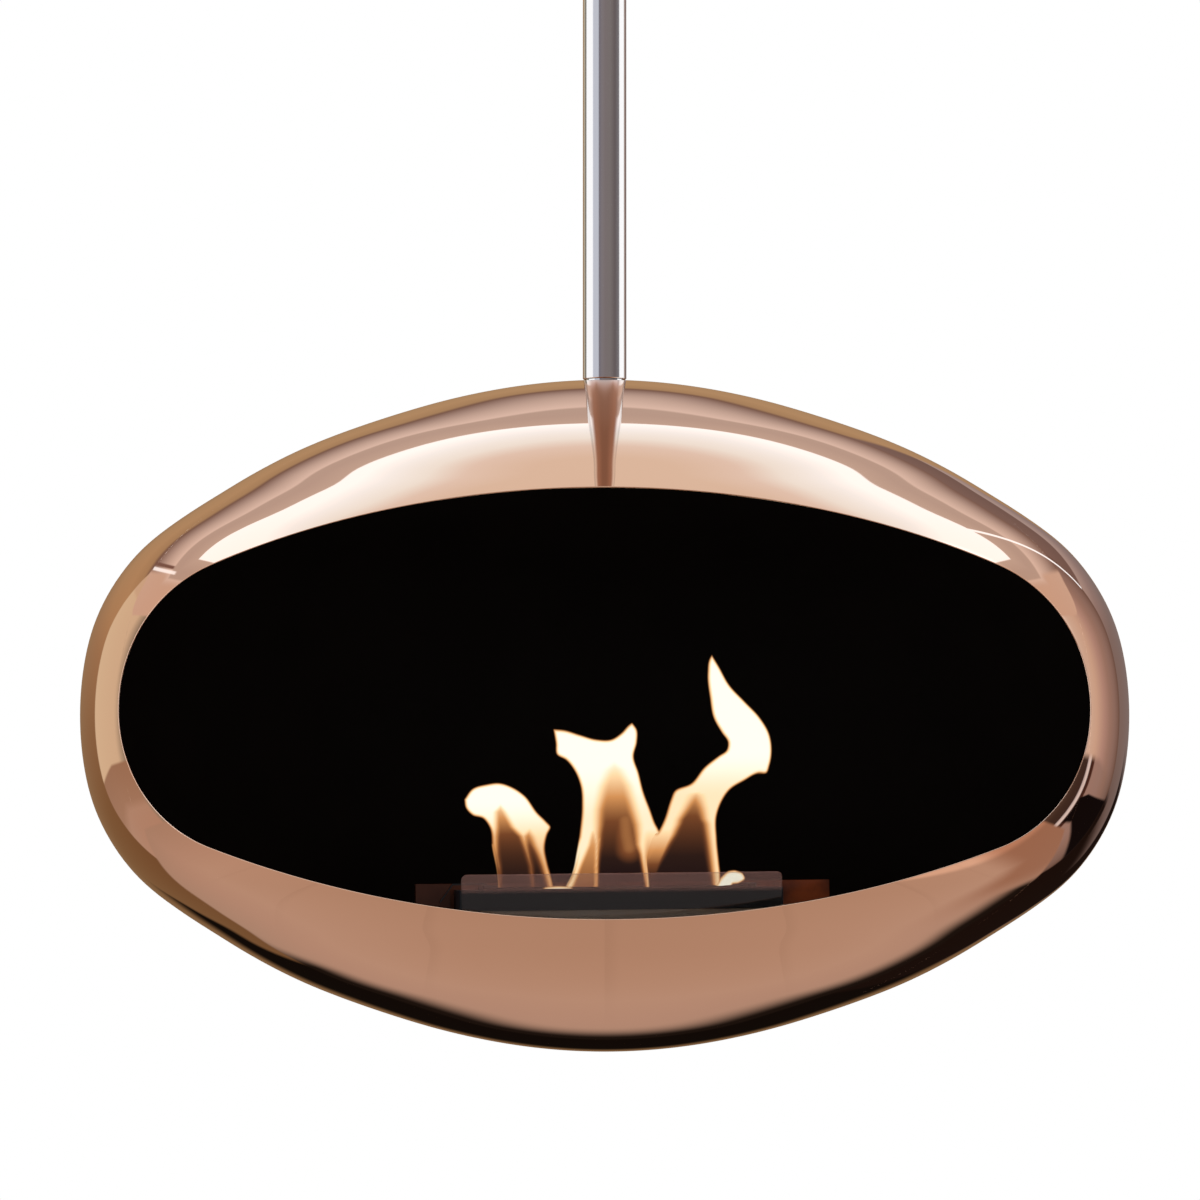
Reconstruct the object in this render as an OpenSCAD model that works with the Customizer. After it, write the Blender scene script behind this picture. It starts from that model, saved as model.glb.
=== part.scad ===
// A hanging fireplace: a pebble-shaped spun shell with an oval mouth, turning on a
// thrust bearing at the foot of a steel pole, with a bio-ethanol burner inside.
// Millimetres. Origin at the centre of the ceiling plate's top face, +Z up, and the
// mouth faces -Y.

/* [Shell] */
// Width of the shell across its equator
body_w = 910; // [870:1:1000]
// Height of the shell from its foot to its crown
body_h = 583; // [556:1:606]
// Radius of the arc over the crown
crown_r = 517; // [470:1:560]
// Slope at which the crown's arc ends, in degrees
crown_slope = 16.2; // [14:0.1:18]
// Radius of the arc halfway down the shoulder
haunch_r = 436; // [400:1:470]
// Slope at which that arc ends, in degrees
haunch_slope = 32.8; // [31:0.1:35]
// Radius of the tight arc at the shoulder
shoulder_r = 173; // [150:1:190]
// Slope at which the shoulder's arc ends, in degrees
shoulder_slope = 78.9; // [74:0.1:83]
// Radius of the arc round the equator
side_r = 275; // [240:1:320]
// Thickness of the spun sheet
shell_t = 1.5; // [1.2:0.1:2.5]

/* [Mouth] */
// Width of the oval mouth
mouth_w = 809.2; // [760:0.1:830]
// Height of the oval mouth
mouth_h = 347.6; // [320:0.1:370]
// Radius of the oval's long top and bottom arcs
mouth_r = 932; // [820:1:1100]

/* [Pole] */
// Length from the ceiling to the shell's crown
pole_drop = 850; // [400:1:1500]
// Outside diameter of the pole
pole_d = 38.1; // [36:0.1:42]
// Wall of the pole
pole_wall = 1.5; // [1.2:0.1:2]
// Bevel round the pole's lower end
pole_bevel = 0.6; // [0.2:0.1:1]
// Diameter of the neck washer in the groove under the pole
neck_d = 33; // [28:0.5:34.5]
// Height of the groove between the pole and the shell
groove_h = 2.4; // [1.5:0.1:5]

/* [Ceiling fixing] */
// Diameter of the ceiling plate
plate_d = 110; // [100:1:140]
// Thickness of the ceiling plate
plate_t = 6; // [5:0.5:10]
// Circle on which the ceiling bolts stand
bolt_circle = 84; // [72:1:90]
// Diameter of each ceiling bolt's hole
bolt_hole_d = 7; // [6:0.5:10]
// Number of ceiling bolts
bolt_count = 4; // [3:1:6]
// Length of the spigot that the pole slips over
spigot_l = 50; // [44:1:80]
// Bore of the spigot
spigot_bore = 25; // [18:1:28]
// Distance of the cross bolt below the ceiling plate
cross_drop = 26; // [16:1:32]
// Diameter of the cross bolt
cross_d = 8; // [6:1:10]
// Depth of the ceiling cover
cover_h = 62; // [56:1:90]
// Wall of the ceiling cover
cover_t = 1.2; // [1:0.1:2]
// Bend radius of the ceiling cover's lower edge
cover_bend = 8; // [3:0.5:12]
// Outside diameter of the collar under the cover
collar_d = 52; // [48:1:60]
// Height of the collar
collar_h = 12; // [10:1:16]

/* [Swivel] */
// Diameter of the spindle in its bore
spindle_d = 18; // [16.5:0.5:18.5]
// Diameter of the spindle's threaded end
thread_d = 16; // [12:0.5:16]
// Length of the bearing plug in the pole
plug_l = 55; // [50:1:80]
// Solid length of the plug under the bearing
plug_seat = 24; // [18:1:30]
// Diameter of the spindle's head
head_d = 29; // [26:0.5:29.5]
// Thickness of the spindle's head
head_h = 7; // [5:0.5:10]
// Outside diameter of the lower race
race_d = 30; // [29.5:0.1:30.4]
// Thickness of each race
race_h = 3; // [2.5:0.1:4]
// Diameter of each ball
ball_d = 4; // [3.6:0.1:4.2]
// Number of balls
ball_count = 14; // [8:1:15]
// Thickness of the ball cage
cage_h = 1.6; // [1.2:0.1:1.9]
// Diameter of the reinforcing plate in the crown
crown_plate_d = 140; // [80:1:200]
// Thickness of that plate
crown_plate_t = 4; // [3:0.5:6]
// Diameter of the hanger washer
hanger_washer_d = 44; // [30:1:60]
// Width across the flats of the hanger nuts
hanger_nut_af = 24; // [22:1:27]

/* [Burner] */
// Length of the burner's black top
burner_l = 272; // [250:1:290]
// Depth of the burner's black top
burner_d = 150; // [140:1:156]
// Distance of the burner's front from the shell's axis
burner_front = 166; // [160:1:180]
// Height of the cradle above the lowest point of the shell's floor
cradle_rise = 58; // [48:1:68]
// Height of the whole burner
burner_h = 80; // [70:1:84]
// Depth of the black apron round the top
apron_h = 17.5; // [10:0.5:24]
// Sheet of the burner's top and tank
burner_sheet = 1.5; // [1:0.1:2]
// Turn of the burner about the pole's axis, in degrees
burner_turn = 3.5; // [0:0.5:8]
// Lean of the burner on the round floor, in degrees
burner_lean = 0.65; // [0:0.05:1.5]
// Length of the fire slot
slot_l = 216; // [180:1:220]
// Width of the fire slot
slot_w = 44; // [30:1:46]
// Distance of the slot's middle behind the burner's front
slot_back = 50; // [42:1:54]
// How far the lid laps over the slot on every side
lid_lap = 6; // [4:0.5:8]
// Thickness of the lid
lid_t = 2; // [1.5:0.1:3]
// Height of the glass above the burner's top
glass_rise = 13; // [8:0.5:30]
// Full height of the glass
glass_h = 54; // [45:0.5:80]
// Length of the glass
glass_l = 270; // [240:1:280]
// Thickness of the glass
glass_t = 4; // [3:0.5:6]
// Radius of the glass's upper corners
glass_corner = 5; // [2:0.5:10]

/* [Cradle] */
// Reach of the surround to the left of the burner's middle
surround_left = 170; // [166:1:185]
// Reach of the surround to the right of the burner's middle
surround_right = 187; // [166:1:192]
// Height of the surround's edge above the burner's top
surround_rise = 5.5; // [2:0.5:12]
// Depth of the surround's wings, from front to back
surround_d = 37; // [30:1:42]
// Sheet of the surround
surround_sheet = 1.5; // [1:0.1:2]
// Sheet of the cradle that carries the burner
cradle_sheet = 2; // [1.5:0.1:3]
// Diameter of the studs that carry the cradle
stud_d = 8; // [6:1:9]
// Distance of the studs from the middle, to either side
stud_u = 155; // [150:1:160]

/* [Clearances] */
// Gap between pieces that move past each other
run_gap = 0.3; // [0.2:0.05:0.5]
// Radial clearance of a turned fit
fit_gap = 0.05; // [0.02:0.01:0.1]

/* [Hidden] */
$fn = 96;
past = 1; // how far a cut runs past the face that it opens

// Heights down the pole.
crown_z = -pole_drop;
foot_z = crown_z + groove_h;
equator_z = crown_z - body_h / 2;
pole_r = pole_d / 2;
pole_bore_r = pole_r - pole_wall;

// The shell's outline, from the crown (slope 0) to the equator (slope 90): four arcs, with
// a straight stretch after each of the first two. The straights take up what the width
// and the height leave over.
arc_step = 3;
function arc_run(r, s0, s1) = r * [sin(s1) - sin(s0), cos(s1) - cos(s0)];
function straight(length, slope) = length * [cos(slope), -sin(slope)];
arcs_run = arc_run(crown_r, 0, crown_slope) + arc_run(haunch_r, crown_slope, haunch_slope)
    + arc_run(shoulder_r, haunch_slope, shoulder_slope) + arc_run(side_r, shoulder_slope, 90);
left_r = body_w / 2 - arcs_run[0];
left_z = body_h / 2 + arcs_run[1];
slope_gain = sin(haunch_slope - crown_slope);
crown_flat = (sin(haunch_slope) * left_r - cos(haunch_slope) * left_z) / slope_gain;
haunch_flat = (cos(crown_slope) * left_z - sin(crown_slope) * left_r) / slope_gain;
crown_start = [0, body_h / 2];
haunch_start = crown_start + arc_run(crown_r, 0, crown_slope)
    + straight(crown_flat, crown_slope);
shoulder_start = haunch_start + arc_run(haunch_r, crown_slope, haunch_slope)
    + straight(haunch_flat, haunch_slope);
side_start = shoulder_start + arc_run(shoulder_r, haunch_slope, shoulder_slope);

// Points of one arc, set in from the outer face by depth; point 0 is its start.
function arc_points(start, r, s0, s1, depth, first = 0) =
    let (n = ceil((s1 - s0) / arc_step))
    [for (i = [first : n])
        let (s = s0 + (s1 - s0) * i / n)
        start + arc_run(r, s0, s) - depth * [sin(s), cos(s)]];
function outline(depth) = concat(
    arc_points(crown_start, crown_r, 0, crown_slope, depth),
    arc_points(haunch_start, haunch_r, crown_slope, haunch_slope, depth),
    arc_points(shoulder_start, shoulder_r, haunch_slope, shoulder_slope, depth),
    arc_points(side_start, side_r, shoulder_slope, 90, depth, 1));
function reversed(list) = [for (i = [len(list) - 1 : -1 : 0]) list[i]];

// Height above the equator of the dome that lies depth inside the crown, at radius r.
function dome_z(depth, r) = body_h / 2 - crown_r + sqrt(pow(crown_r - depth, 2) - r * r);

// The oval mouth has two long arcs and two end arcs that touch them from inside.
mouth_a = mouth_w / 2;
mouth_b = mouth_h / 2;
mouth_end_r = (mouth_a * mouth_a + mouth_b * mouth_b - 2 * mouth_r * mouth_b)
    / (2 * (mouth_a - mouth_r));
mouth_end_x = mouth_a - mouth_end_r;
mouth_join_x = mouth_end_x * mouth_r / (mouth_r - mouth_end_r);

// The bolt that holds the pole on its spigot.
cross_z = -plate_t - cross_drop;
cross_head_h = 5.3;
cross_nut_h = 6.8;
nut_across = 1.625; // across the flats, over the thread's diameter
cross_af = nut_across * cross_d;

// The ceiling cover and its collar.
cover_r = plate_d / 2 + run_gap + cover_t;
cover_floor_z = -cover_h;
collar_screw_d = 5;

// The bearing, upwards from the floor of the plug's counterbore.
spindle_r = spindle_d / 2;
thread_r = thread_d / 2;
plug_screw_d = 5;
plug_screw_depth = 5;
plug_screw_angles = [60, 120];
race_r = race_d / 2;
race_slack = 0.4;
ball_sink = 0.65;
ball_r = ball_d / 2;
race_bore_r = spindle_r + race_slack;
pitch_r = (race_r + race_bore_r) / 2;
race_z = foot_z + plug_seat;
ball_z = race_z + race_h - ball_sink + ball_r + fit_gap / 2;
upper_race_z = 2 * ball_z - race_z - race_h;
head_z = upper_race_z + race_h;
key_af = 10;
key_depth = 4;

// The hanger under the crown.
seat_gap = 0.2;
crown_plate_depth = shell_t + seat_gap;
hanger_washer_h = 3;
hanger_nut_h = 13;
lock_nut_h = 8;
thread_over = 3;
shoulder_z = foot_z - run_gap;
hanger_z = equator_z - seat_gap
    + dome_z(crown_plate_depth + crown_plate_t, hanger_washer_d / 2) - hanger_washer_h;
hanger_nut_z = hanger_z - hanger_nut_h;
lock_nut_z = hanger_nut_z - lock_nut_h;
thread_end_z = lock_nut_z - thread_over;

// The burner has its own axes: u along its length, v backwards from the shell's axis and
// w up from the shell's equator. It stands on the round floor, turned about the pole and
// leaning about the middle of the floor's arc.
floor_centre_z = equator_z - body_h / 2 + crown_r;
cradle_w = shell_t + cradle_rise - body_h / 2;
bottom_w = cradle_w + cradle_sheet;
top_w = bottom_w + burner_h;
front_v = -burner_front;
back_v = front_v + burner_d;
apron_w = top_w - apron_h;

// The tank hangs inside the apron.
tank_inset = 5;
tank_l = burner_l - 2 * tank_inset;
rim_inset = burner_sheet + run_gap;
wool_h = 58;
wool_top_w = bottom_w + burner_sheet + wool_h;
wick_t = 1;
wick_hole_d = 6;
wick_pitch = 11;
slot_v = front_v + slot_back;
slot_lip = 8;

// The lid lies open behind the slot, in two runners.
lid_l = slot_l + 2 * lid_lap;
lid_d = slot_w + 2 * lid_lap;
lid_rest = 2;
lid_travel = slot_w / 2 + lid_d / 2 + lid_rest;
lid_v = slot_v + lid_travel;
lid_w = top_w + run_gap;
runner_t = 1.2;
runner_hold = 4;
runner_w = lid_w + lid_t + run_gap;
runner_u = lid_l / 2 + run_gap;
runner_start_v = slot_v - lid_d / 2 - lid_rest;
runner_end_v = lid_v + lid_d / 2 + lid_rest;
pull_t = 1.5;
pull_width = 14;
pull_foot = 14;
pull_step = 2;
pull_reach = 2.5;
pull_drop = 15;
pull_out = 11;

// The glass stands in clips on the cradle's front lip.
glass_gap = 0.6;
glass_back_v = front_v - glass_gap;
glass_bottom_w = top_w + glass_rise - glass_h;
clip_t = 1.2;
clip_width = 22;
clip_u = 95;
clip_hold = 9;
clip_back_hold = 14.4;
clip_v = glass_back_v + run_gap;
clip_front_v = glass_back_v - glass_t - run_gap;
clip_foot_w = glass_bottom_w - run_gap - clip_t;
clip_screw_d = 4;
screw_head_d = 7;
screw_head_h = 2.2;
screw_rise = 10;
screw_w = bottom_w + screw_rise;

// The cradle and the surround.
lip_v = clip_v + clip_t;
lip_h = 15;
surround_gap = 2;
surround_back_v = back_v + surround_gap;
surround_front_v = surround_back_v + surround_sheet - surround_d;
surround_clear = 4;
surround_mouth = burner_l + 2 * surround_clear;
surround_top_w = top_w + surround_rise;
flange_h = 25;
flange_screw_u = 120;
stud_inset = 26;
stud_front_v = front_v + stud_inset;
stud_back_v = (surround_front_v + surround_back_v) / 2;
stud_places = [for (u = [-stud_u, stud_u], v = [stud_front_v, stud_back_v]) [u, v]];
stud_over = 3;
stud_nut_h = 6.5;
stud_nut_af = nut_across * stud_d;
cradle_margin = 14;

// A tube or washer standing on z = 0.
module ring(r_out, r_in, h)
    difference() {
        cylinder(r = r_out, h = h);
        translate([0, 0, -past])
            cylinder(r = r_in, h = h + 2 * past);
    }

// A hexagon nut standing on z = 0, or a bolt's head where bore_r is 0.
module hexagon(across, h, bore_r = 0)
    difference() {
        cylinder(d = across / cos(30), h = h, $fn = 6);
        if (bore_r > 0)
            translate([0, 0, -past])
                cylinder(r = bore_r, h = h + 2 * past);
    }

// A box from one corner to the other.
module block(low, high)
    translate(low)
        cube(high - low);

// Lies its child, which stands along z, along x or backwards along y.
module along_x() rotate([0, 90, 0]) children();
module along_y() rotate([-90, 0, 0]) children();

// ---- Ceiling fixing ----

// A steel disc that bolts to the ceiling.
module ceiling_plate()
    color("silver")
        translate([0, 0, -plate_t])
            difference() {
                cylinder(d = plate_d, h = plate_t);
                for (i = [0 : bolt_count - 1])
                    rotate(45 + 360 * i / bolt_count)
                        translate([bolt_circle / 2, 0, -past])
                            cylinder(d = bolt_hole_d, h = plate_t + 2 * past);
            }

// The hole of the cross bolt, through the pole and the spigot.
module cross_hole()
    translate([-pole_r - past, 0, cross_z])
        along_x()
            cylinder(d = cross_d + 2 * fit_gap, h = 2 * (pole_r + past));

// A thick tube, welded under the plate, that the pole slips over.
module ceiling_spigot()
    color("silver")
        difference() {
            translate([0, 0, -plate_t - spigot_l])
                ring(pole_bore_r - fit_gap, spigot_bore / 2, spigot_l);
            cross_hole();
        }

// The bolt that pins the pole to the spigot.
module cross_bolt()
    color("dimgray")
        translate([0, 0, cross_z]) {
            translate([-pole_r - cross_nut_h - past, 0, 0])
                along_x()
                    cylinder(d = cross_d, h = 2 * pole_r + cross_nut_h + past);
            translate([pole_r, 0, 0])
                along_x()
                    hexagon(cross_af, cross_head_h);
        }

module cross_nut()
    color("dimgray")
        translate([-pole_r - cross_nut_h, 0, cross_z])
            along_x()
                hexagon(cross_af, cross_nut_h, cross_d / 2 + fit_gap);

// A spun cup with a bent lower edge, drawn up over the plate and the cross bolt.
module ceiling_cover()
    color("silver")
        difference() {
            cover_body(cover_r, cover_bend, cover_floor_z, -run_gap);
            cover_body(cover_r - cover_t, cover_bend - cover_t, cover_floor_z + cover_t, past);
            translate([0, 0, cover_floor_z - past])
                cylinder(r = pole_r + run_gap, h = cover_t + 2 * past);
        }

// A solid cup of radius r whose lower edge is rounded to bend.
module cover_body(r, bend, low, high)
    rotate_extrude() {
        translate([0, low])
            square([r - bend, high - low]);
        translate([0, low + bend])
            square([r, high - low - bend]);
        translate([r - bend, low + bend])
            circle(r = bend, $fn = 48);
    }

// The threaded hole of the collar's screw, from behind.
module collar_hole(slack)
    translate([0, pole_r, cover_floor_z - collar_h / 2])
        along_y()
            cylinder(d = collar_screw_d + 2 * slack, h = collar_d);

// A turned ring under the cover that its screw clamps to the pole.
module cover_collar()
    color("silver")
        difference() {
            translate([0, 0, cover_floor_z - collar_h])
                ring(collar_d / 2, pole_r + run_gap, collar_h);
            collar_hole(fit_gap);
        }

module collar_screw()
    color("dimgray")
        intersection() {
            collar_hole(0);
            translate([0, 0, cover_floor_z - collar_h])
                ring(collar_d / 2 - past, pole_r + run_gap, collar_h);
        }

// ---- Pole and bearing ----

// The radial holes of the two screws that hold the bearing plug, behind the pole.
module plug_screw_set(slack, inner, outer)
    for (a = plug_screw_angles)
        rotate(a)
            translate([inner, 0, foot_z + plug_seat / 2])
                along_x()
                    cylinder(d = plug_screw_d + 2 * slack, h = outer - inner);

// A brushed stainless tube with a bevelled foot.
module pole_tube()
    color("lightgray")
        difference() {
            rotate_extrude()
                polygon([
                    [pole_bore_r, foot_z],
                    [pole_r - pole_bevel, foot_z],
                    [pole_r, foot_z + pole_bevel],
                    [pole_r, -plate_t],
                    [pole_bore_r, -plate_t]
                ]);
            cross_hole();
            plug_screw_set(fit_gap, 0, pole_r + past);
        }

// A turned plug in the pole's foot, bored for the spindle and counterbored for the races.
module bearing_plug()
    color("gray")
        difference() {
            rotate_extrude()
                polygon([
                    [spindle_r + fit_gap, foot_z],
                    [pole_bore_r - fit_gap, foot_z],
                    [pole_bore_r - fit_gap, foot_z + plug_l],
                    [race_r + fit_gap, foot_z + plug_l],
                    [race_r + fit_gap, race_z],
                    [spindle_r + fit_gap, race_z]
                ]);
            plug_screw_set(fit_gap, pole_bore_r - plug_screw_depth - past, pole_r);
        }

module plug_screws()
    color("dimgray")
        plug_screw_set(0, pole_bore_r - plug_screw_depth, pole_r - run_gap);

// The ring-shaped groove that the balls run in, on both races.
module ball_groove()
    rotate_extrude()
        translate([pitch_r, ball_z])
            circle(r = ball_r + fit_gap);

module lower_race()
    color("silver")
        difference() {
            translate([0, 0, race_z])
                ring(race_r, race_bore_r, race_h);
            ball_groove();
        }

module upper_race()
    color("silver")
        difference() {
            translate([0, 0, upper_race_z])
                ring(race_r - race_slack, spindle_r + fit_gap, race_h);
            ball_groove();
        }

module ball_places()
    for (i = [0 : ball_count - 1])
        rotate(360 * i / ball_count)
            translate([pitch_r, 0, ball_z])
                children();

// A flat ring with a hole for each ball.
module ball_cage()
    color("goldenrod")
        difference() {
            translate([0, 0, ball_z - cage_h / 2])
                ring(race_r - run_gap, race_bore_r, cage_h);
            ball_places()
                cylinder(r = ball_r + 2 * fit_gap, h = cage_h + 2 * past, center = true);
        }

module bearing_balls()
    color("white")
        ball_places()
            sphere(r = ball_r, $fn = 32);

// The spindle turns in the plug: a head on the upper race, a shaft, and a thinner threaded
// end below the shoulder that clamps the neck washer.
module swivel_spindle()
    color("silver")
        difference() {
            rotate_extrude()
                polygon([
                    [0, thread_end_z],
                    [thread_r - past, thread_end_z],
                    [thread_r, thread_end_z + past],
                    [thread_r, shoulder_z],
                    [spindle_r, shoulder_z],
                    [spindle_r, head_z],
                    [head_d / 2, head_z],
                    [head_d / 2, head_z + head_h],
                    [0, head_z + head_h]
                ]);
            translate([0, 0, head_z + head_h - key_depth])
                hexagon(key_af, key_depth + past);
        }

// The dark ring in the groove between the pole and the crown.
module neck_washer()
    color("dimgray")
        translate([0, 0, crown_z])
            ring(neck_d / 2, thread_r + fit_gap, shoulder_z - crown_z);

// ---- Shell ----

// The oval of the mouth, drawn across the shell's front.
module mouth_oval() {
    intersection() {
        translate([0, mouth_b - mouth_r])
            circle(r = mouth_r, $fn = 256);
        translate([0, mouth_r - mouth_b])
            circle(r = mouth_r, $fn = 256);
        square([2 * mouth_join_x, mouth_h], center = true);
    }
    for (side = [-1, 1])
        translate([side * mouth_end_x, 0])
            circle(r = mouth_end_r, $fn = 128);
}

// The mouth cuts the front half of the shell, straight back from the viewer.
module mouth_cut()
    translate([0, -body_w, equator_z])
        along_y()
            linear_extrude(body_w)
                mouth_oval();

// The upper half of the spun sheet, standing on z = 0.
module spun_half()
    rotate_extrude($fn = 180)
        polygon(concat(outline(0), reversed(outline(shell_t))));

// Polished outside and black inside, with a hole in its crown for the spindle.
module upper_shell()
    color([0.80, 0.55, 0.42])
        difference() {
            translate([0, 0, equator_z])
                spun_half();
            translate([0, 0, crown_z - crown_r / 2])
                cylinder(r = thread_r + fit_gap, h = crown_r);
            mouth_cut();
        }

// The same half upside down, welded on at the equator and polished over.
module lower_shell()
    color([0.80, 0.55, 0.42])
        difference() {
            translate([0, 0, equator_z])
                mirror([0, 0, 1])
                    spun_half();
            mouth_cut();
        }

// A dished plate, welded inside the crown, that spreads the shell's weight.
module crown_plate() {
    edge_slope = asin(crown_plate_d / 2 / crown_r);
    outer = arc_points(crown_start, crown_r, 0, edge_slope, crown_plate_depth);
    inner = arc_points(crown_start, crown_r, 0, edge_slope, crown_plate_depth + crown_plate_t);
    color("dimgray")
        difference() {
            translate([0, 0, equator_z])
                rotate_extrude()
                    polygon(concat(outer, reversed(inner)));
            translate([0, 0, crown_z - crown_r / 2])
                cylinder(r = thread_r + fit_gap, h = crown_r);
        }
}

module hanger_washer()
    color("dimgray")
        translate([0, 0, hanger_z])
            ring(hanger_washer_d / 2, thread_r + fit_gap, hanger_washer_h);

module hanger_nut()
    color("dimgray")
        translate([0, 0, hanger_nut_z])
            hexagon(hanger_nut_af, hanger_nut_h, thread_r + fit_gap);

module lock_nut()
    color("dimgray")
        translate([0, 0, lock_nut_z])
            hexagon(hanger_nut_af, lock_nut_h, thread_r + fit_gap);

// ---- Cradle, under the burner ----

// Stands its children on the shell's round floor, in the burner's own axes.
module in_burner_axes()
    translate([0, 0, floor_centre_z])
        rotate([0, -burner_lean, burner_turn])
            translate([0, 0, equator_z - floor_centre_z])
                children();

// The room inside the lower half of the shell.
module floor_room()
    translate([0, 0, equator_z])
        mirror([0, 0, 1])
            rotate_extrude($fn = 180)
                polygon(concat(outline(shell_t), [[0, 0]]));

// Four threaded studs, welded to the floor.
module cradle_studs()
    color("dimgray")
        intersection() {
            in_burner_axes()
                for (p = stud_places)
                    translate([p[0], p[1], cradle_w - cradle_rise])
                        cylinder(d = stud_d, h = cradle_rise + cradle_sheet + stud_nut_h + stud_over);
            floor_room();
        }

// A nut under and a nut over the cradle on each stud, which level it.
module cradle_nuts()
    color("gray")
        in_burner_axes()
            for (p = stud_places, w = [cradle_w - stud_nut_h, bottom_w])
                translate([p[0], p[1], w])
                    hexagon(stud_nut_af, stud_nut_h, stud_d / 2 + fit_gap);

// A folded sheet with a front lip for the glass clips and a back flange for the surround.
module burner_cradle()
    color("dimgray")
        in_burner_axes()
            difference() {
                union() {
                    block([-stud_u - cradle_margin, lip_v, cradle_w],
                        [stud_u + cradle_margin, surround_back_v, bottom_w]);
                    block([-tank_l / 2, lip_v, cradle_w],
                        [tank_l / 2, lip_v + cradle_sheet, bottom_w + lip_h]);
                    block([-tank_l / 2, surround_back_v - cradle_sheet, cradle_w],
                        [tank_l / 2, surround_back_v, bottom_w + flange_h]);
                }
                for (p = stud_places)
                    translate([p[0], p[1], cradle_w - past])
                        cylinder(r = stud_d / 2 + run_gap, h = cradle_sheet + 2 * past);
                for (side = [-1, 1]) {
                    translate([side * clip_u, lip_v - past, screw_w])
                        along_y()
                            cylinder(d = clip_screw_d + 2 * fit_gap, h = cradle_sheet + 2 * past);
                    translate([side * flange_screw_u, surround_back_v + past, screw_w])
                        rotate([90, 0, 0])
                            cylinder(d = clip_screw_d + 2 * fit_gap, h = cradle_sheet + 2 * past);
                }
            }

// A bent sheet that wraps round the back of the burner and returns at both sides.
module burner_surround()
    color("saddlebrown")
        in_burner_axes()
            difference() {
                block([-surround_left, surround_front_v, bottom_w],
                    [surround_right, surround_back_v + surround_sheet, surround_top_w]);
                translate([0, 0, -past])
                    block([surround_sheet - surround_left, surround_front_v + surround_sheet, bottom_w],
                        [surround_right - surround_sheet, surround_back_v, surround_top_w + 2 * past]);
                translate([0, -past, -past])
                    block([-surround_mouth / 2, surround_front_v, bottom_w],
                        [surround_mouth / 2, surround_back_v, surround_top_w + 2 * past]);
                for (side = [-1, 1])
                    translate([side * flange_screw_u, surround_back_v - past, screw_w])
                        along_y()
                            cylinder(d = clip_screw_d + 2 * fit_gap, h = surround_sheet + 2 * past);
            }

// A pan-headed screw whose head's underside is at z = 0 and whose shank runs down.
module pan_screw(shank)
    union() {
        translate([0, 0, -shank])
            cylinder(d = clip_screw_d, h = shank);
        cylinder(d = screw_head_d, h = screw_head_h);
    }

module surround_screws()
    color("gray")
        in_burner_axes()
            for (side = [-1, 1])
                translate([side * flange_screw_u, surround_back_v + surround_sheet, screw_w])
                    along_y()
                        pan_screw(surround_sheet + cradle_sheet + past);

// Two hooked strips that hold the foot of the glass.
module glass_clips()
    color("dimgray")
        in_burner_axes()
            for (side = [-1, 1])
                translate([side * clip_u, 0, 0])
                    difference() {
                        union() {
                            block([-clip_width / 2, clip_v, bottom_w],
                                [clip_width / 2, lip_v, glass_bottom_w + clip_back_hold]);
                            block([-clip_width / 2, clip_front_v - clip_t, clip_foot_w],
                                [clip_width / 2, lip_v, clip_foot_w + clip_t]);
                            block([-clip_width / 2, clip_front_v - clip_t, clip_foot_w],
                                [clip_width / 2, clip_front_v, glass_bottom_w + clip_hold]);
                        }
                        translate([0, clip_v - past, screw_w])
                            along_y()
                                cylinder(d = clip_screw_d + 2 * fit_gap, h = clip_t + 2 * past);
                    }

module clip_screws()
    color("gray")
        in_burner_axes()
            for (side = [-1, 1])
                translate([side * clip_u, clip_v, screw_w])
                    rotate([90, 0, 0])
                        pan_screw(clip_t + cradle_sheet + past / 2);

// ---- Burner, which lifts out of the cradle ----

// A welded stainless tank with a flange round its rim.
module burner_tank()
    color("silver")
        in_burner_axes()
            difference() {
                union() {
                    block([-tank_l / 2, front_v + tank_inset, bottom_w],
                        [tank_l / 2, back_v - tank_inset, top_w - burner_sheet]);
                    block([rim_inset - burner_l / 2, front_v + rim_inset, top_w - 2 * burner_sheet],
                        [burner_l / 2 - rim_inset, back_v - rim_inset, top_w - burner_sheet]);
                }
                tank_room(burner_sheet, bottom_w + burner_sheet, top_w + past);
            }

// The inside of the tank, less a gap, between two heights.
module tank_room(inset, low, high)
    block([inset - tank_l / 2, front_v + tank_inset + inset, low],
        [tank_l / 2 - inset, back_v - tank_inset - inset, high]);

// The block of ceramic wool that soaks up the fuel.
module ceramic_wool()
    color("white")
        in_burner_axes()
            tank_room(burner_sheet + run_gap, bottom_w + burner_sheet, wool_top_w);

// A drilled plate on the wool, with its holes under the slot.
module wick_plate()
    color("gray")
        in_burner_axes()
            difference() {
                tank_room(burner_sheet + run_gap, wool_top_w, wool_top_w + wick_t);
                for (u = [wick_pitch - slot_l / 2 : wick_pitch : slot_l / 2 - wick_pitch])
                    for (row = [-1, 0, 1])
                        translate([u, slot_v + row * wick_pitch, wool_top_w - past])
                            cylinder(d = wick_hole_d, h = wick_t + 2 * past, $fn = 24);
            }

// The black top with its apron, a slot for the fire and a lip round the slot.
module burner_top()
    color([0.16, 0.17, 0.18])
        in_burner_axes()
            difference() {
                union() {
                    difference() {
                        block([-burner_l / 2, front_v, apron_w], [burner_l / 2, back_v, top_w]);
                        block([burner_sheet - burner_l / 2, front_v + burner_sheet, apron_w - past],
                            [burner_l / 2 - burner_sheet, back_v - burner_sheet, top_w - burner_sheet]);
                    }
                    slot_block(burner_sheet, top_w - slot_lip, top_w);
                }
                slot_block(0, apron_w - past, top_w + past);
            }

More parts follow.
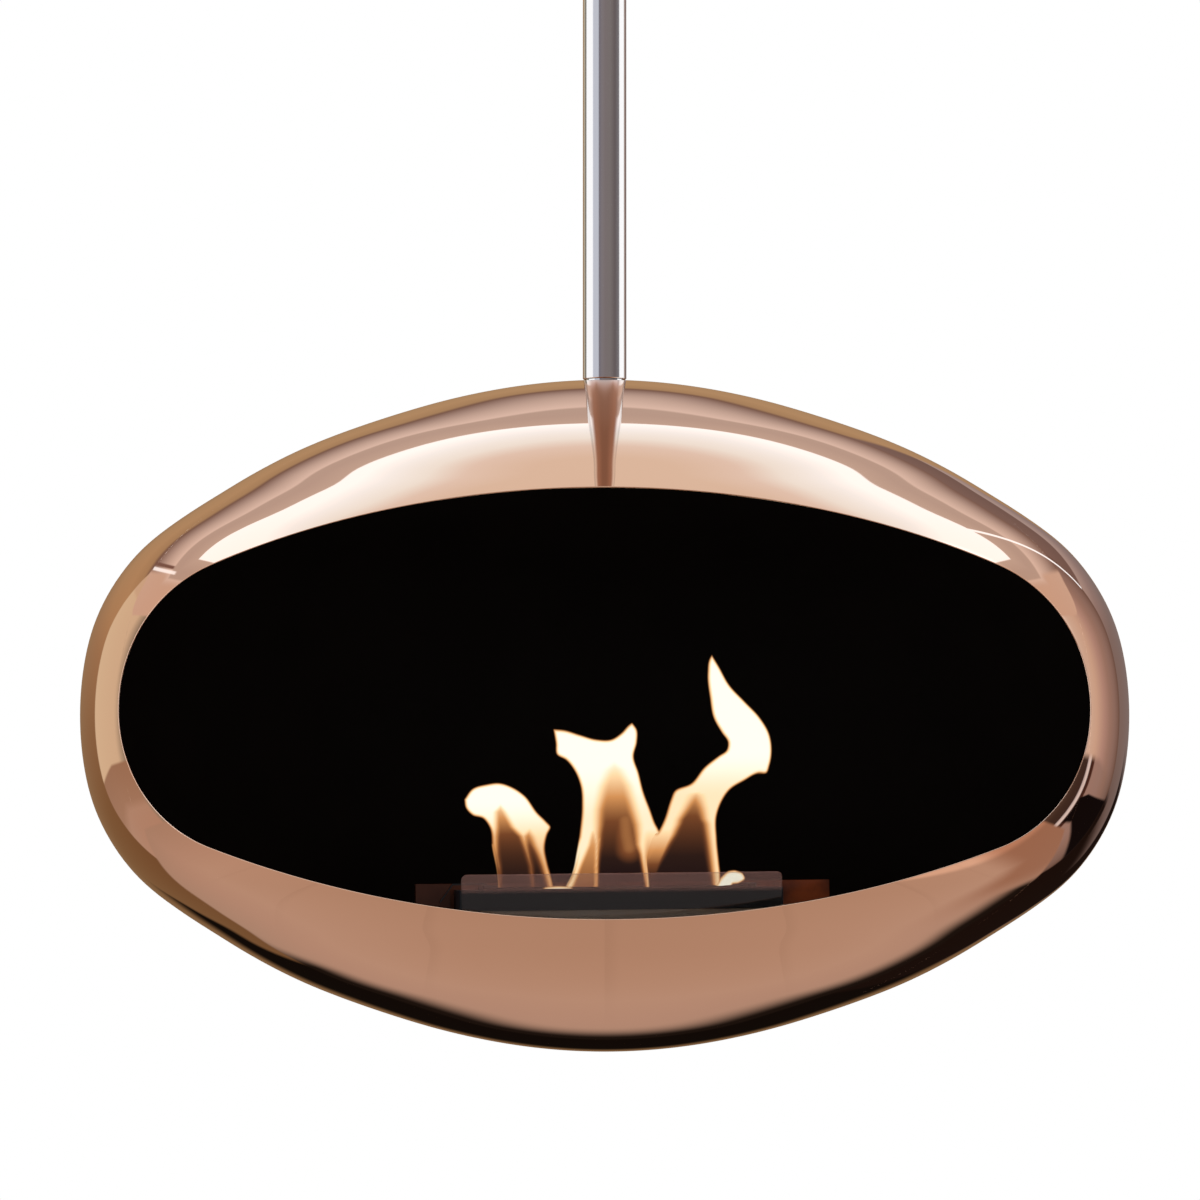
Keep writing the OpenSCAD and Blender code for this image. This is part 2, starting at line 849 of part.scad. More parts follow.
// The slot's opening, grown by a wall, between two heights.
module slot_block(wall, low, high)
    block([-slot_l / 2 - wall, slot_v - slot_w / 2 - wall, low],
        [slot_l / 2 + wall, slot_v + slot_w / 2 + wall, high]);

// Two hooked runners on the top that the lid slides in.
module lid_runners()
    color([0.16, 0.17, 0.18])
        in_burner_axes()
            for (side = [0, 1])
                mirror([side, 0, 0]) {
                    block([runner_u, runner_start_v, top_w],
                        [runner_u + runner_t, runner_end_v, runner_w + runner_t]);
                    block([runner_u - runner_hold, runner_start_v, runner_w],
                        [runner_u + runner_t, runner_end_v, runner_w + runner_t]);
                }

// The plate that slides forwards over the slot and puts the fire out.
module sliding_lid()
    color([0.16, 0.17, 0.18])
        in_burner_axes()
            block([-lid_l / 2, lid_v - lid_d / 2, lid_w], [lid_l / 2, lid_v + lid_d / 2, lid_w + lid_t]);

// A bent strip on the lid that steps over the left runner and hangs past the burner's end.
module lid_pull() {
    foot_w = lid_w + lid_t;
    arm_w = runner_w + runner_t + run_gap;
    step_u = -runner_u + runner_hold + pull_step;
    end_u = -burner_l / 2 - pull_reach;
    path = [
        [step_u + pull_foot, foot_w],
        [step_u, foot_w],
        [step_u - pull_step / 2, arm_w],
        [end_u, arm_w],
        [end_u - pull_out, arm_w - pull_drop]
    ];
    color([0.16, 0.17, 0.18])
        in_burner_axes()
            translate([0, lid_v + pull_width / 2, 0])
                rotate([90, 0, 0])
                    linear_extrude(pull_width)
                        polygon(concat(path, [for (p = reversed(path)) p + [0, pull_t]]));
}

// A pane with two rounded upper corners.
module glass_guard()
    color("lightblue", 0.4)
        in_burner_axes()
            translate([0, glass_back_v, glass_bottom_w])
                rotate([90, 0, 0])
                    linear_extrude(glass_t) {
                        translate([-glass_l / 2, 0])
                            square([glass_l, glass_h - glass_corner]);
                        translate([glass_corner - glass_l / 2, 0])
                            square([glass_l - 2 * glass_corner, glass_h]);
                        for (side = [-1, 1])
                            translate([side * (glass_l / 2 - glass_corner), glass_h - glass_corner])
                                circle(r = glass_corner, $fn = 48);
                    }

ceiling_plate();
ceiling_spigot();
cross_bolt();
cross_nut();
pole_tube();
bearing_plug();
plug_screws();
lower_race();
ceiling_cover();
cover_collar();
collar_screw();
ball_cage();
bearing_balls();
upper_race();
swivel_spindle();
neck_washer();
upper_shell();
lower_shell();
crown_plate();
hanger_washer();
hanger_nut();
lock_nut();
cradle_studs();
cradle_nuts();
burner_cradle();
burner_surround();
surround_screws();
glass_clips();
clip_screws();
burner_tank();
ceramic_wool();
wick_plate();
burner_top();
lid_runners();
sliding_lid();
lid_pull();
glass_guard();
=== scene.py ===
import math

import bmesh
import bpy
import numpy as np
from mathutils import Matrix, Vector


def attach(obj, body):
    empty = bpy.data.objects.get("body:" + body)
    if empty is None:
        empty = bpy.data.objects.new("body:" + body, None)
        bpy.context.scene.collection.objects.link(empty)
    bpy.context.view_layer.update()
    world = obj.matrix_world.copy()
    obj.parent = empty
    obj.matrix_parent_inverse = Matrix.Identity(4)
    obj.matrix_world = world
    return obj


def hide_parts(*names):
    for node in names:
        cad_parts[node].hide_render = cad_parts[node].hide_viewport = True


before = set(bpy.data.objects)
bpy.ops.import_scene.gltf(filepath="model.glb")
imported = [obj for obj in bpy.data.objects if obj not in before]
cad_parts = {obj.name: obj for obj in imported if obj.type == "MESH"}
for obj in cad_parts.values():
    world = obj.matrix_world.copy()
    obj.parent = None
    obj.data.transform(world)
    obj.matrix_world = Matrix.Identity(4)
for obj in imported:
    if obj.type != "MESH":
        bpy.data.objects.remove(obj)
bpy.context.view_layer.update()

# ---- Camera ----
# A long lens on the pole's axis, 4.8 m in front of it and a little below the shell's
# equator, tilted up until the shell's foot stands near the lower edge of the picture.
SHELL_EQUATOR = -1.1415
CAMERA_BELOW_EQUATOR = 0.139
CAMERA_DISTANCE = 4.79
CAMERA_TILT, CAMERA_PAN = math.radians(92.868), math.radians(0.048)


def stand(name, data):
    """An object of that name in the scene, with a camera, a mesh or a lamp in it."""
    made = bpy.data.objects.new(name, data)
    bpy.context.scene.collection.objects.link(made)
    return made


camera = stand("camera", bpy.data.cameras.new("camera"))
camera.data.lens = 165
camera.data.sensor_width = 36
camera.data.clip_end = 100
camera.location = (0, -CAMERA_DISTANCE, SHELL_EQUATOR - CAMERA_BELOW_EQUATOR)
camera.rotation_euler = (CAMERA_TILT, 0, CAMERA_PAN)
bpy.context.scene.camera = camera


# ---- Ceiling fixing ----
# A zinc-plated disc bolts to the ceiling, and the pole slips over its spigot and is pinned
# there. A spun steel cup with a turned collar slides up over them and is clamped.
class Wire:
    """One output of a shader node. Arithmetic on it adds Math nodes."""

    def __init__(self, finish, socket):
        self.finish = finish
        self.socket = socket

    def math(self, operation, *others):
        return self.finish.node("Math", {"operation": operation}, [self, *others])

    def __add__(self, other):
        return self.math("ADD", other)

    def __mul__(self, other):
        return self.math("MULTIPLY", other)

    def __truediv__(self, other):
        return self.math("DIVIDE", other)

    def __sub__(self, other):
        return self.math("SUBTRACT", other)

    def __rsub__(self, other):
        return self.finish.node("Math", {"operation": "SUBTRACT"}, [other, self])

    __radd__ = __add__
    __rmul__ = __mul__

    def rise(self, low, high):
        """0 below low, 1 above high and a smooth step between."""
        kind = {"interpolation_type": "SMOOTHSTEP"}
        return self.finish.node("MapRange", kind, {"Value": self, "From Min": low, "From Max": high})

    def within(self, low, high, soft):
        """1 between low and high, with edges that are soft to both sides."""
        return self.rise(low - soft, low + soft) - self.rise(high - soft, high + soft)


class Finish:
    """A new material of that name, or the world, put together from shader nodes."""

    def __init__(self, name, world=None):
        self.material = world or bpy.data.materials.new(name)
        self.material.use_nodes = True
        self.tree = self.material.node_tree
        self.shader = self.tree.nodes.get("Principled BSDF")
        self.output = self.tree.nodes["World Output" if world else "Material Output"]

    def put(self, socket, value):
        """Links a wire to a socket, or sets the socket's own value."""
        if isinstance(value, Wire):
            self.tree.links.new(value.socket, socket)
        elif socket.type == "RGBA" and len(value) == 3:
            socket.default_value = (*value, 1)
        else:
            socket.default_value = value

    def node(self, kind, settings=None, values=(), output=0):
        """A node of that kind: its settings first, then its sockets' values or links."""
        made = self.tree.nodes.new("ShaderNode" + kind)
        for key, value in (settings or {}).items():
            if key == "stops":
                ramp = made.color_ramp.elements
                while len(ramp) < len(value):
                    ramp.new(1)
                for stop, (position, colour) in zip(ramp, value):
                    stop.position = position
                    stop.color = (*colour, 1)
            else:
                setattr(made, key, value)
        for key, value in values.items() if isinstance(values, dict) else enumerate(values):
            self.put(made.inputs[key], value)
        return Wire(self, made.outputs[output])

    def place(self):
        """The point on the object, in metres."""
        return self.node("TexCoord", output="Object")

    def axis(self, place, name):
        return self.node("SeparateXYZ", values=[place], output=name)

    def stretched(self, place, scale):
        return self.node("Mapping", values={"Vector": place, "Scale": scale})

    def noise(self, place, scale, detail=3, roughness=0.5):
        settings = {"Vector": place, "Scale": scale, "Detail": detail, "Roughness": roughness}
        return self.node("TexNoise", values=settings)

    def blend(self, amount, low, high):
        """The colour low where amount is 0 and high where it is 1."""
        sockets = {0: amount, 6: low, 7: high}
        return self.node("Mix", {"data_type": "RGBA"}, sockets, output=2)

    def ramp(self, value, *stops):
        """Colours by value, at stops (value, colour) from low to high."""
        low, high = stops[0][0], stops[-1][0]
        places = [((at - low) / (high - low), colour) for at, colour in stops]
        return self.node("ValToRGB", {"stops": places}, [(value - low) / (high - low)])

    def bump(self, height, depth, strength=1.0):
        """A normal for a surface that stands up by depth metres where height is 1."""
        sockets = {"Height": height, "Distance": depth, "Strength": strength}
        return self.node("Bump", values=sockets)

    def surface(self, **values):
        """Sets the sockets of the Principled shader and returns the material."""
        for name, value in values.items():
            self.put(self.shader.inputs[name.replace("_", " ")], value)
        return self.material

    def cover(self, shader):
        """Makes another shader the outermost one and returns the material."""
        self.put(self.output.inputs["Surface"], shader)
        return self.material


def object_of(name, points, faces, materials):
    """A smooth-shaded object of those points and faces."""
    mesh = bpy.data.meshes.new(name)
    mesh.from_pydata(points, [], faces)
    mesh.polygons.foreach_set("use_smooth", np.ones(len(mesh.polygons), bool))
    for material in materials:
        mesh.materials.append(material)
    return stand(name, mesh)


def grid_faces(rows, columns, start=0, wrap=False):
    """Quads between neighbours of a rows x columns grid of points; wrap joins the last
    column to the first."""
    row, column = np.mgrid[0:rows - 1, 0:columns if wrap else columns - 1]
    beside = (column + 1) % columns
    corners = [row * columns + column, row * columns + beside,
               (row + 1) * columns + beside, (row + 1) * columns + column]
    return (np.stack(corners, -1).reshape(-1, 4) + start).tolist()


def show(material, *names):
    """Gives the CAD pieces of those names a finish."""
    for name in names:
        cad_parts[name].data.materials[0] = material


def dressed(piece, name, body, material, width):
    """Stands a copy of a CAD piece in its place, with its flats merged and its edges broken
    by a bevel of that width."""
    shape = bmesh.new()
    shape.from_mesh(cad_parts[name].data)
    bmesh.ops.remove_doubles(shape, verts=shape.verts, dist=1e-6)
    bmesh.ops.dissolve_limit(shape, angle_limit=math.radians(0.5), verts=shape.verts, edges=shape.edges)
    mesh = bpy.data.meshes.new(piece)
    shape.to_mesh(mesh)
    shape.free()
    mesh.materials.clear()
    mesh.materials.append(material)
    mesh.polygons.foreach_set("use_smooth", np.ones(len(mesh.polygons), bool))
    mesh.set_sharp_from_angle(angle=math.radians(30))
    made = stand(piece, mesh)
    bevel = made.modifiers.new("broken_edges", "BEVEL")
    bevel.width = width
    bevel.segments = 2
    bevel.limit_method = "ANGLE"
    bevel.harden_normals = True
    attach(made, body)
    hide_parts(name)


def zinc_plate():
    """Zinc plating: dull silver with a bluish cloud and a fine crystal grain."""
    zinc = Finish("zinc_plate")
    place = zinc.place()
    cloud = zinc.noise(place, 45, 3)
    grain = zinc.noise(place, 1400, 2)
    tone = zinc.blend(cloud, (0.50, 0.52, 0.56), (0.66, 0.65, 0.61))
    return zinc.surface(Base_Color=tone, Metallic=0.95, Roughness=cloud * 0.15 + 0.27,
                        Normal=zinc.bump(grain, 0.00002, 0.3))


def oiled_steel():
    """Turned steel, blackened in hot oil, worn a little lighter in patches."""
    steel = Finish("oiled_steel")
    place = steel.place()
    lathe = steel.noise(steel.stretched(place, (20, 20, 1800)), 1, 2)
    worn = steel.noise(place, 70, 4).rise(0.45, 0.75)
    tone = steel.blend(worn, (0.055, 0.052, 0.05), (0.17, 0.165, 0.16))
    return steel.surface(Base_Color=tone, Metallic=1, Roughness=lathe * 0.12 + 0.25,
                         Normal=steel.bump(lathe, 0.00002, 0.3))


def belted_steel():
    """Stainless steel polished round the vertical axis: fine lines, very flat, that
    follow the height and hardly the turn, over a slow change in gloss."""
    steel = Finish("belted_steel")
    place = steel.place()
    belt = steel.noise(steel.stretched(place, (2, 2, 900)), 1, 5, 0.7)
    cloud = steel.noise(steel.stretched(place, (30, 30, 6)), 1, 2)
    tone = steel.blend(belt * 0.6 + cloud * 0.4, (0.60, 0.595, 0.605), (0.68, 0.675, 0.68))
    return steel.surface(Base_Color=tone, Metallic=1, Roughness=belt * 0.06 + cloud * 0.03 + 0.05,
                         Normal=steel.bump(belt, 0.00002, 0.35))


zinc, oiled, belted = zinc_plate(), oiled_steel(), belted_steel()
show(zinc, "ceiling_plate", "ceiling_spigot", "cross_bolt", "cross_nut")
show(belted, "ceiling_cover", "cover_collar")
show(oiled, "collar_screw")

# ---- Pole and bearing ----
# A stainless tube, 38.1 mm across, polished round and round with a fine belt, its foot
# bevelled. A plug in the foot holds a ball bearing in a brass cage, and the spindle
# that turns on it. Under the foot is a groove with a bright washer.


def ground_steel():
    """Hardened and ground bearing steel: bright, with hair-fine grinding marks."""
    steel = Finish("ground_steel")
    place = steel.place()
    marks = steel.noise(steel.stretched(place, (3000, 300, 3000)), 1, 2)
    return steel.surface(Base_Color=steel.blend(marks, (0.66, 0.665, 0.67), (0.76, 0.76, 0.755)),
                         Metallic=1, Roughness=marks * 0.06 + 0.05)


def cage_brass():
    """Stamped brass with a thin film of grease that darkens it in patches."""
    brass = Finish("greased_brass")
    film = brass.noise(brass.place(), 160, 3)
    tone = brass.blend(film.rise(0.4, 0.7), (0.76, 0.54, 0.24), (0.46, 0.31, 0.13))
    return brass.surface(Base_Color=tone, Metallic=1, Roughness=film * 0.25 + 0.12)


show(belted, "pole_tube", "neck_washer")
show(oiled, "bearing_plug", "plug_screws", "swivel_spindle")
show(ground_steel(), "lower_race", "upper_race", "bearing_balls")
show(cage_brass(), "ball_cage")

# ---- Shell ----
# Two halves spun from 1.5 mm copper sheet, welded round the equator and polished to a
# mirror until the weld is gone. The inside has a matt black heat coat, and the cut edge
# of the mouth is rounded and polished.
SHELL_HALF_HEIGHT = 0.2915
SHELL_RADIUS = 0.455
SHEET = 0.0015
PROFILE_EVENING = 0.010
PROFILE_SLOPES = [(0, 0), (0.085, 9.3), (0.170, 17.1), (0.210, 19.0), (0.250, 21.4), (0.285, 26.0),
                  (0.315, 29.3), (0.345, 32.5), (0.370, 31.7), (0.390, 34.5), (0.410, 35.8),
                  (0.430, 41.5), (0.450, 49.7), (0.475, 57.5), (0.500, 65.3), (0.530, 76.3),
                  (0.560, 83.3), (0.5933, 90)]
MOUTH_WIDTH, MOUTH_HEIGHT, MOUTH_RADIUS = 0.8092, 0.3476, 0.932
SPINDLE_HOLE = 0.00805


def shell_profile(depth):
    """Points (radius, height over the equator) and slopes from the crown to the equator, on
    a surface depth metres inside the outside. The slopes, in degrees at distances down the
    sheet, are evened out over 10 mm, and their running sum is fitted to the shell's size.
    Beyond the crown and the equator the slopes go on mirrored, as far as the evening reaches."""
    distance, slope = np.array(PROFILE_SLOPES).T
    steps, reach = 5000, 340
    step = distance[-1] / steps
    slope = np.radians(np.interp(np.arange(steps + 1) * step, distance, slope))
    slope = np.concatenate([-slope[reach:0:-1], slope, math.pi - slope[-2:-reach - 2:-1]])
    window = np.exp(-0.5 * (np.arange(-reach, reach + 1) * step / PROFILE_EVENING) ** 2)
    slope = np.convolve(slope, window / window.sum(), "valid")
    middle = (slope[1:] + slope[:-1]) / 2
    out = np.concatenate([[0], np.cumsum(np.cos(middle))])
    down = np.concatenate([[0], np.cumsum(np.sin(middle))])
    out *= SHELL_RADIUS / out[-1]
    down *= SHELL_HALF_HEIGHT / down[-1]
    points = np.stack([out, SHELL_HALF_HEIGHT - down], -1)
    return points - depth * np.stack([np.sin(slope), np.cos(slope)], -1), slope


def mouth_edge(count, grow):
    """Points and outward normals on the upper half of the mouth's oval, from its right
    end over the top to its left end, grown outwards: two small end arcs and a long one."""
    half_width, half_height = MOUTH_WIDTH / 2, MOUTH_HEIGHT / 2
    drop = MOUTH_RADIUS - half_height
    end_radius = (half_width ** 2 + drop ** 2 - MOUTH_RADIUS ** 2) / (2 * (half_width - MOUTH_RADIUS))
    end = half_width - end_radius
    join = math.atan2(drop, end)
    swing = np.concatenate([
        np.linspace(0, join, count // 3, endpoint=False),
        np.linspace(join, math.pi - join, count - 2 * (count // 3), endpoint=False),
        np.linspace(math.pi - join, math.pi, count // 3)])
    normal = np.stack([np.cos(swing), np.sin(swing)], -1)
    long_arc = (swing >= join) & (swing <= math.pi - join)
    centre = np.where(long_arc[:, None], [0, -drop],
                      np.where((swing < join)[:, None], [end, 0], [-end, 0]))
    radius = np.where(long_arc, MOUTH_RADIUS, end_radius) + grow
    return centre + normal * radius[:, None], normal


def shell_skin(depth, edge, rows, back, hole):
    """A skin of the upper half as a (rows, columns, 3) grid, with its outward normals.
    Each column runs down the profile from the crown: in front to a point of the mouth's
    edge, and behind to the equator."""
    profile, slopes = shell_profile(depth)
    length = np.concatenate([[0], np.cumsum(np.hypot(*np.diff(profile, axis=0).T))])
    radius = np.interp(-edge[:, 1], -profile[:, 1], profile[:, 0])
    turn = np.arcsin(np.clip(edge[:, 0] / radius, -1, 1))
    behind = np.linspace(turn[-1], turn[0] - 2 * math.pi, back + 2)[1:-1]
    turn = np.concatenate([turn, behind])
    end = np.interp(-edge[:, 1], -profile[:, 1], length)
    end = np.concatenate([end, np.full(back, length[-1])])
    begin = np.interp(hole, profile[:, 0], length)
    run = begin + (end - begin) * np.linspace(0, 1, rows)[:, None]
    out = np.interp(run, length, profile[:, 0])
    height = np.interp(run, length, profile[:, 1])
    slope = np.interp(run, length, slopes)
    points = np.stack([out * np.sin(turn), -out * np.cos(turn), height], -1)
    normals = np.stack([np.sin(slope) * np.sin(turn), -np.sin(slope) * np.cos(turn), np.cos(slope)], -1)
    return points, normals


FRONT_COLUMNS, BACK_COLUMNS = 168, 112
OUTER_ROWS, INNER_ROWS, NOSE_ROWS = 84, 40, 7
NOSE = 0.0011  # how far the rounded edge stands into the mouth


def half_shell():
    """Points, normals, faces and a copper mark of the upper half, equator at z = 0: the
    outer skin, the rounded nose round the mouth, the inner skin and the spindle's hole."""
    edge, away = mouth_edge(FRONT_COLUMNS, NOSE)
    outer, outer_normals = shell_skin(0, edge, OUTER_ROWS, BACK_COLUMNS, SPINDLE_HOLE)
    inner, inner_normals = shell_skin(SHEET, edge, INNER_ROWS, BACK_COLUMNS, SPINDLE_HOLE)
    columns = FRONT_COLUMNS + BACK_COLUMNS
    start, end = outer[-1], inner[-1]
    middle, reach = (start + end) / 2, (start - end) / 2
    away = np.concatenate([np.stack([away[:, 0], 0 * away[:, 0], away[:, 1]], -1),
                           np.zeros((BACK_COLUMNS, 3))])
    bend = np.linspace(0, math.pi, NOSE_ROWS + 2)[1:-1, None, None]
    nose = middle + reach * np.cos(bend) - away * NOSE * np.sin(bend)
    half = np.linalg.norm(reach, axis=-1, keepdims=True)
    nose_normals = reach / half ** 2 * np.cos(bend) - away / NOSE * np.sin(bend)
    nose_normals /= np.maximum(np.linalg.norm(nose_normals, axis=-1, keepdims=True), 1e-9)
    loop = np.concatenate([outer, nose, inner[::-1]])
    normals = np.concatenate([outer_normals, nose_normals, -inner_normals[::-1]])
    faces = np.array(grid_faces(len(loop), columns, wrap=True))
    row = np.arange(len(faces)) // columns
    column = np.arange(len(faces)) % columns
    behind = (column >= FRONT_COLUMNS - 1) & (row >= OUTER_ROWS - 1) & (row < OUTER_ROWS + NOSE_ROWS)
    hole = np.stack([np.arange(columns), (np.arange(columns) + 1) % columns], -1)
    last = (len(loop) - 1) * columns
    hole = np.concatenate([hole[:, ::-1], hole + last], -1)
    copper = row < OUTER_ROWS + NOSE_ROWS
    faces, copper = faces[~behind], copper[~behind]
    faces = np.concatenate([faces, hole])
    copper = np.concatenate([copper, np.ones(len(hole), bool)])
    return loop.reshape(-1, 3), normals.reshape(-1, 3), faces, copper


def copper_shell():
    """Both halves as one mesh: the lower one is the upper one mirrored in the equator."""
    points, normals, faces, copper = half_shell()
    mirror = np.array([1, 1, -1])
    points = np.concatenate([points, points * mirror]) + [0, 0, SHELL_EQUATOR]
    normals = np.concatenate([normals, normals * mirror])
    faces = np.concatenate([faces, faces[:, ::-1] + len(points) // 2])
    made = object_of("copper_shell", points.tolist(), faces.tolist(), [mirror_copper(), black_coat()])
    made.data.polygons.foreach_set("material_index", np.where(np.tile(copper, 2), 0, 1))
    made.data.normals_split_custom_set_from_vertices(normals.tolist())
    return made


def mirror_copper():
    """Polished copper: a warm metal, almost free of scratches, with faint buffing clouds
    in its gloss and a waviness of a few hundredths of a millimetre from the spinning."""
    copper = Finish("mirror_copper")
    place = copper.place()
    cloud = copper.noise(place, 9, 3)
    wipe = copper.noise(copper.stretched(place, (60, 60, 420)), 1, 2)
    tone = copper.blend(cloud, (0.925, 0.615, 0.465), (0.945, 0.645, 0.49))
    gloss = cloud.rise(0.35, 0.75) * 0.022 + wipe.rise(0.55, 0.8) * 0.014 + 0.012
    wave = copper.bump(copper.noise(place, 5, 1), 0.00025, 0.25)
    return copper.surface(Base_Color=tone, Metallic=1, Roughness=gloss, Normal=wave)


def black_coat():
    """Sprayed heat coat inside the shell: flat black with a fine grain."""
    coat = Finish("black_heat_coat")
    place = coat.place()
    grain = coat.noise(place, 900, 3, 0.6)
    cloud = coat.noise(place, 12, 3)
    tone = coat.blend(cloud, (0.010, 0.0078, 0.0070), (0.017, 0.0125, 0.0110))
    return coat.surface(Base_Color=tone, Roughness=grain * 0.15 + 0.62, Specular_IOR_Level=0.12,
                        Normal=coat.bump(grain, 0.00015, 0.5))


shell = copper_shell()
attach(shell, "shell")
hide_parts("upper_shell", "lower_shell")

# ---- Hanger ----
# A dished plate is welded inside the crown, and a washer and two nuts on the spindle's
# end hold the shell up. All of it has the same black powder coat as the cradle below.


def powder_coat():
    """Black powder coat: satin, with a faint orange-peel surface."""
    coat = Finish("powder_coat")
    place = coat.place()
    peel = coat.noise(place, 620, 2)
    cloud = coat.noise(place, 25, 3)
    tone = coat.blend(cloud, (0.007, 0.007, 0.007), (0.013, 0.0125, 0.012))
    return coat.surface(Base_Color=tone, Roughness=cloud * 0.12 + 0.38, Specular_IOR_Level=0.35,
                        Normal=coat.bump(peel, 0.00006, 0.5))


powder = powder_coat()
show(powder, "crown_plate", "hanger_washer")
dressed("broken_hanger_nut", "hanger_nut", "shell", powder, 0.0006)
dressed("broken_lock_nut", "lock_nut", "shell", powder, 0.0006)

# ---- Cradle and surround ----
# Four studs on the shell's floor carry a folded sheet, and a brown sheet wraps round the
# burner's back. Two clips on the front lip hold the foot of the glass.


def brown_lacquer():
    """Steel sheet with a heat-proof red-brown lacquer, brushed along its length, that the fire has darkened
    in patches.
    Its tone is painted darker at the left end and lighter at the right end, as painted light from the flames
    near that end."""
    brown = Finish("brown_lacquer")
    place = brown.place()
    brush = brown.noise(brown.stretched(place, (9, 9, 700)), 1, 4)
    soot = brown.noise(place, 30, 4).rise(0.35, 0.75)
    # Painted light: the lacquer is painted lighter from its left end to its right end, where the flames'
    # light falls.
    firelit_tone = brown.blend(brown.axis(place, "X").rise(-0.2, 0.2), (0.08, 0.025, 0.012), (0.27, 0.055, 0.010))
    tone = brown.blend(soot, firelit_tone, (0.06, 0.017, 0.008))
    return brown.surface(Base_Color=tone, Metallic=0.55, Roughness=brush * 0.15 + 0.32,
                         Coat_Weight=0.25, Normal=brown.bump(brush, 0.00003, 0.3))


show(powder, "cradle_studs")
dressed("folded_cradle", "burner_cradle", "shell", powder, 0.0004)
dressed("bent_surround", "burner_surround", "shell", brown_lacquer(), 0.0003)
dressed("bent_glass_clips", "glass_clips", "shell", powder, 0.0002)
dressed("broken_cradle_nuts", "cradle_nuts", "shell", zinc, 0.0004)
dressed("round_clip_screws", "clip_screws", "shell", zinc, 0.0006)
dressed("round_surround_screws", "surround_screws", "shell", zinc, 0.0006)

# ---- Burner ----
# A welded stainless tank, filled with ceramic wool under a drilled plate, hangs in a black
# folded top with the fire's slot. It stands in the cradle a few degrees askew, leaning a
# little, as in the photograph.
FLOOR_ARC_CENTRE = -0.916
BURNER_TURN, BURNER_LEAN = math.radians(3.5), math.radians(-0.65)
BURNER_TOP = -0.150
BURNER_AXES = (Matrix.Translation((0, 0, FLOOR_ARC_CENTRE)) @ Matrix.Rotation(BURNER_TURN, 4, "Z")
               @ Matrix.Rotation(BURNER_LEAN, 4, "Y")
               @ Matrix.Translation((0, 0, SHELL_EQUATOR - FLOOR_ARC_CENTRE)))


def burner_place(finish):
    """The point in the burner's own axes: along it, backwards, and up from the equator."""
    back = BURNER_AXES.inverted()
    place = finish.place()
    rows = [finish.node("VectorMath", {"operation": "DOT_PRODUCT"}, [place, tuple(back[i][:3])], output=1)
            + back[i][3] for i in range(3)]
    return finish.node("CombineXYZ", values=rows)


def tank_steel():
    """Cold-rolled stainless steel, brushed along the tank, that the flames have tinted
    straw and blue just under the slot."""
    steel = Finish("tank_steel")
    place = burner_place(steel)
    brush = steel.noise(steel.stretched(place, (25, 900, 900)), 1, 4)
    cloud = steel.noise(place, 40, 3)
    heat = (steel.axis(place, "Z") + cloud * 0.02).rise(BURNER_TOP - 0.03, BURNER_TOP + 0.01)
    straw = steel.blend(heat, (0.56, 0.55, 0.53), (0.50, 0.36, 0.20))
    tone = steel.blend((heat * cloud).rise(0.35, 0.6), straw, (0.18, 0.17, 0.30))
    return steel.surface(Base_Color=tone, Metallic=1, Roughness=brush * 0.2 + 0.2,
                         Normal=steel.bump(brush, 0.00003, 0.3))


def burner_paint():
    """Heat-proof charcoal paint with a cold cast, satin, with a fine grain."""
    paint = Finish("burner_paint")
    place = paint.place()
    grain = paint.noise(place, 1100, 3)
    cloud = paint.noise(place, 18, 3)
    tone = paint.blend(cloud, (0.0105, 0.013, 0.017), (0.015, 0.019, 0.024))
    return paint.surface(Base_Color=tone, Roughness=cloud * 0.14 + 0.42, Specular_IOR_Level=0.4,
                         Normal=paint.bump(grain, 0.00006, 0.5))


def wool_felt():
    """A block of ceramic wool: off-white felted fibres, scorched where the fire stands."""
    wool = Finish("wool_felt")
    place = wool.place()
    fibre = wool.noise(wool.stretched(place, (260, 900, 900)), 1, 6, 0.7)
    scorch = wool.noise(place, 35, 4).rise(0.45, 0.7)
    tone = wool.blend(scorch, (0.72, 0.70, 0.66), (0.46, 0.40, 0.33))
    return wool.surface(Base_Color=tone, Roughness=0.95, Sheen_Weight=0.3,
                        Normal=wool.bump(fibre, 0.0006, 0.8))


tank, paint = tank_steel(), burner_paint()
show(tank, "wick_plate")
show(wool_felt(), "ceramic_wool")
dressed("welded_tank", "burner_tank", "burner", tank, 0.0004)
dressed("folded_burner_top", "burner_top", "burner", paint, 0.0005)
dressed("hooked_runners", "lid_runners", "burner", paint, 0.0002)

# ---- Lid and glass ----
# The lid slides over the slot to put the fire out, and its bent pull hangs past the
# burner's left end. In front stands a pane of heat-proof glass with rounded corners.
GLASS_RISE = 0.013
GLASS_TOP = BURNER_TOP + GLASS_RISE


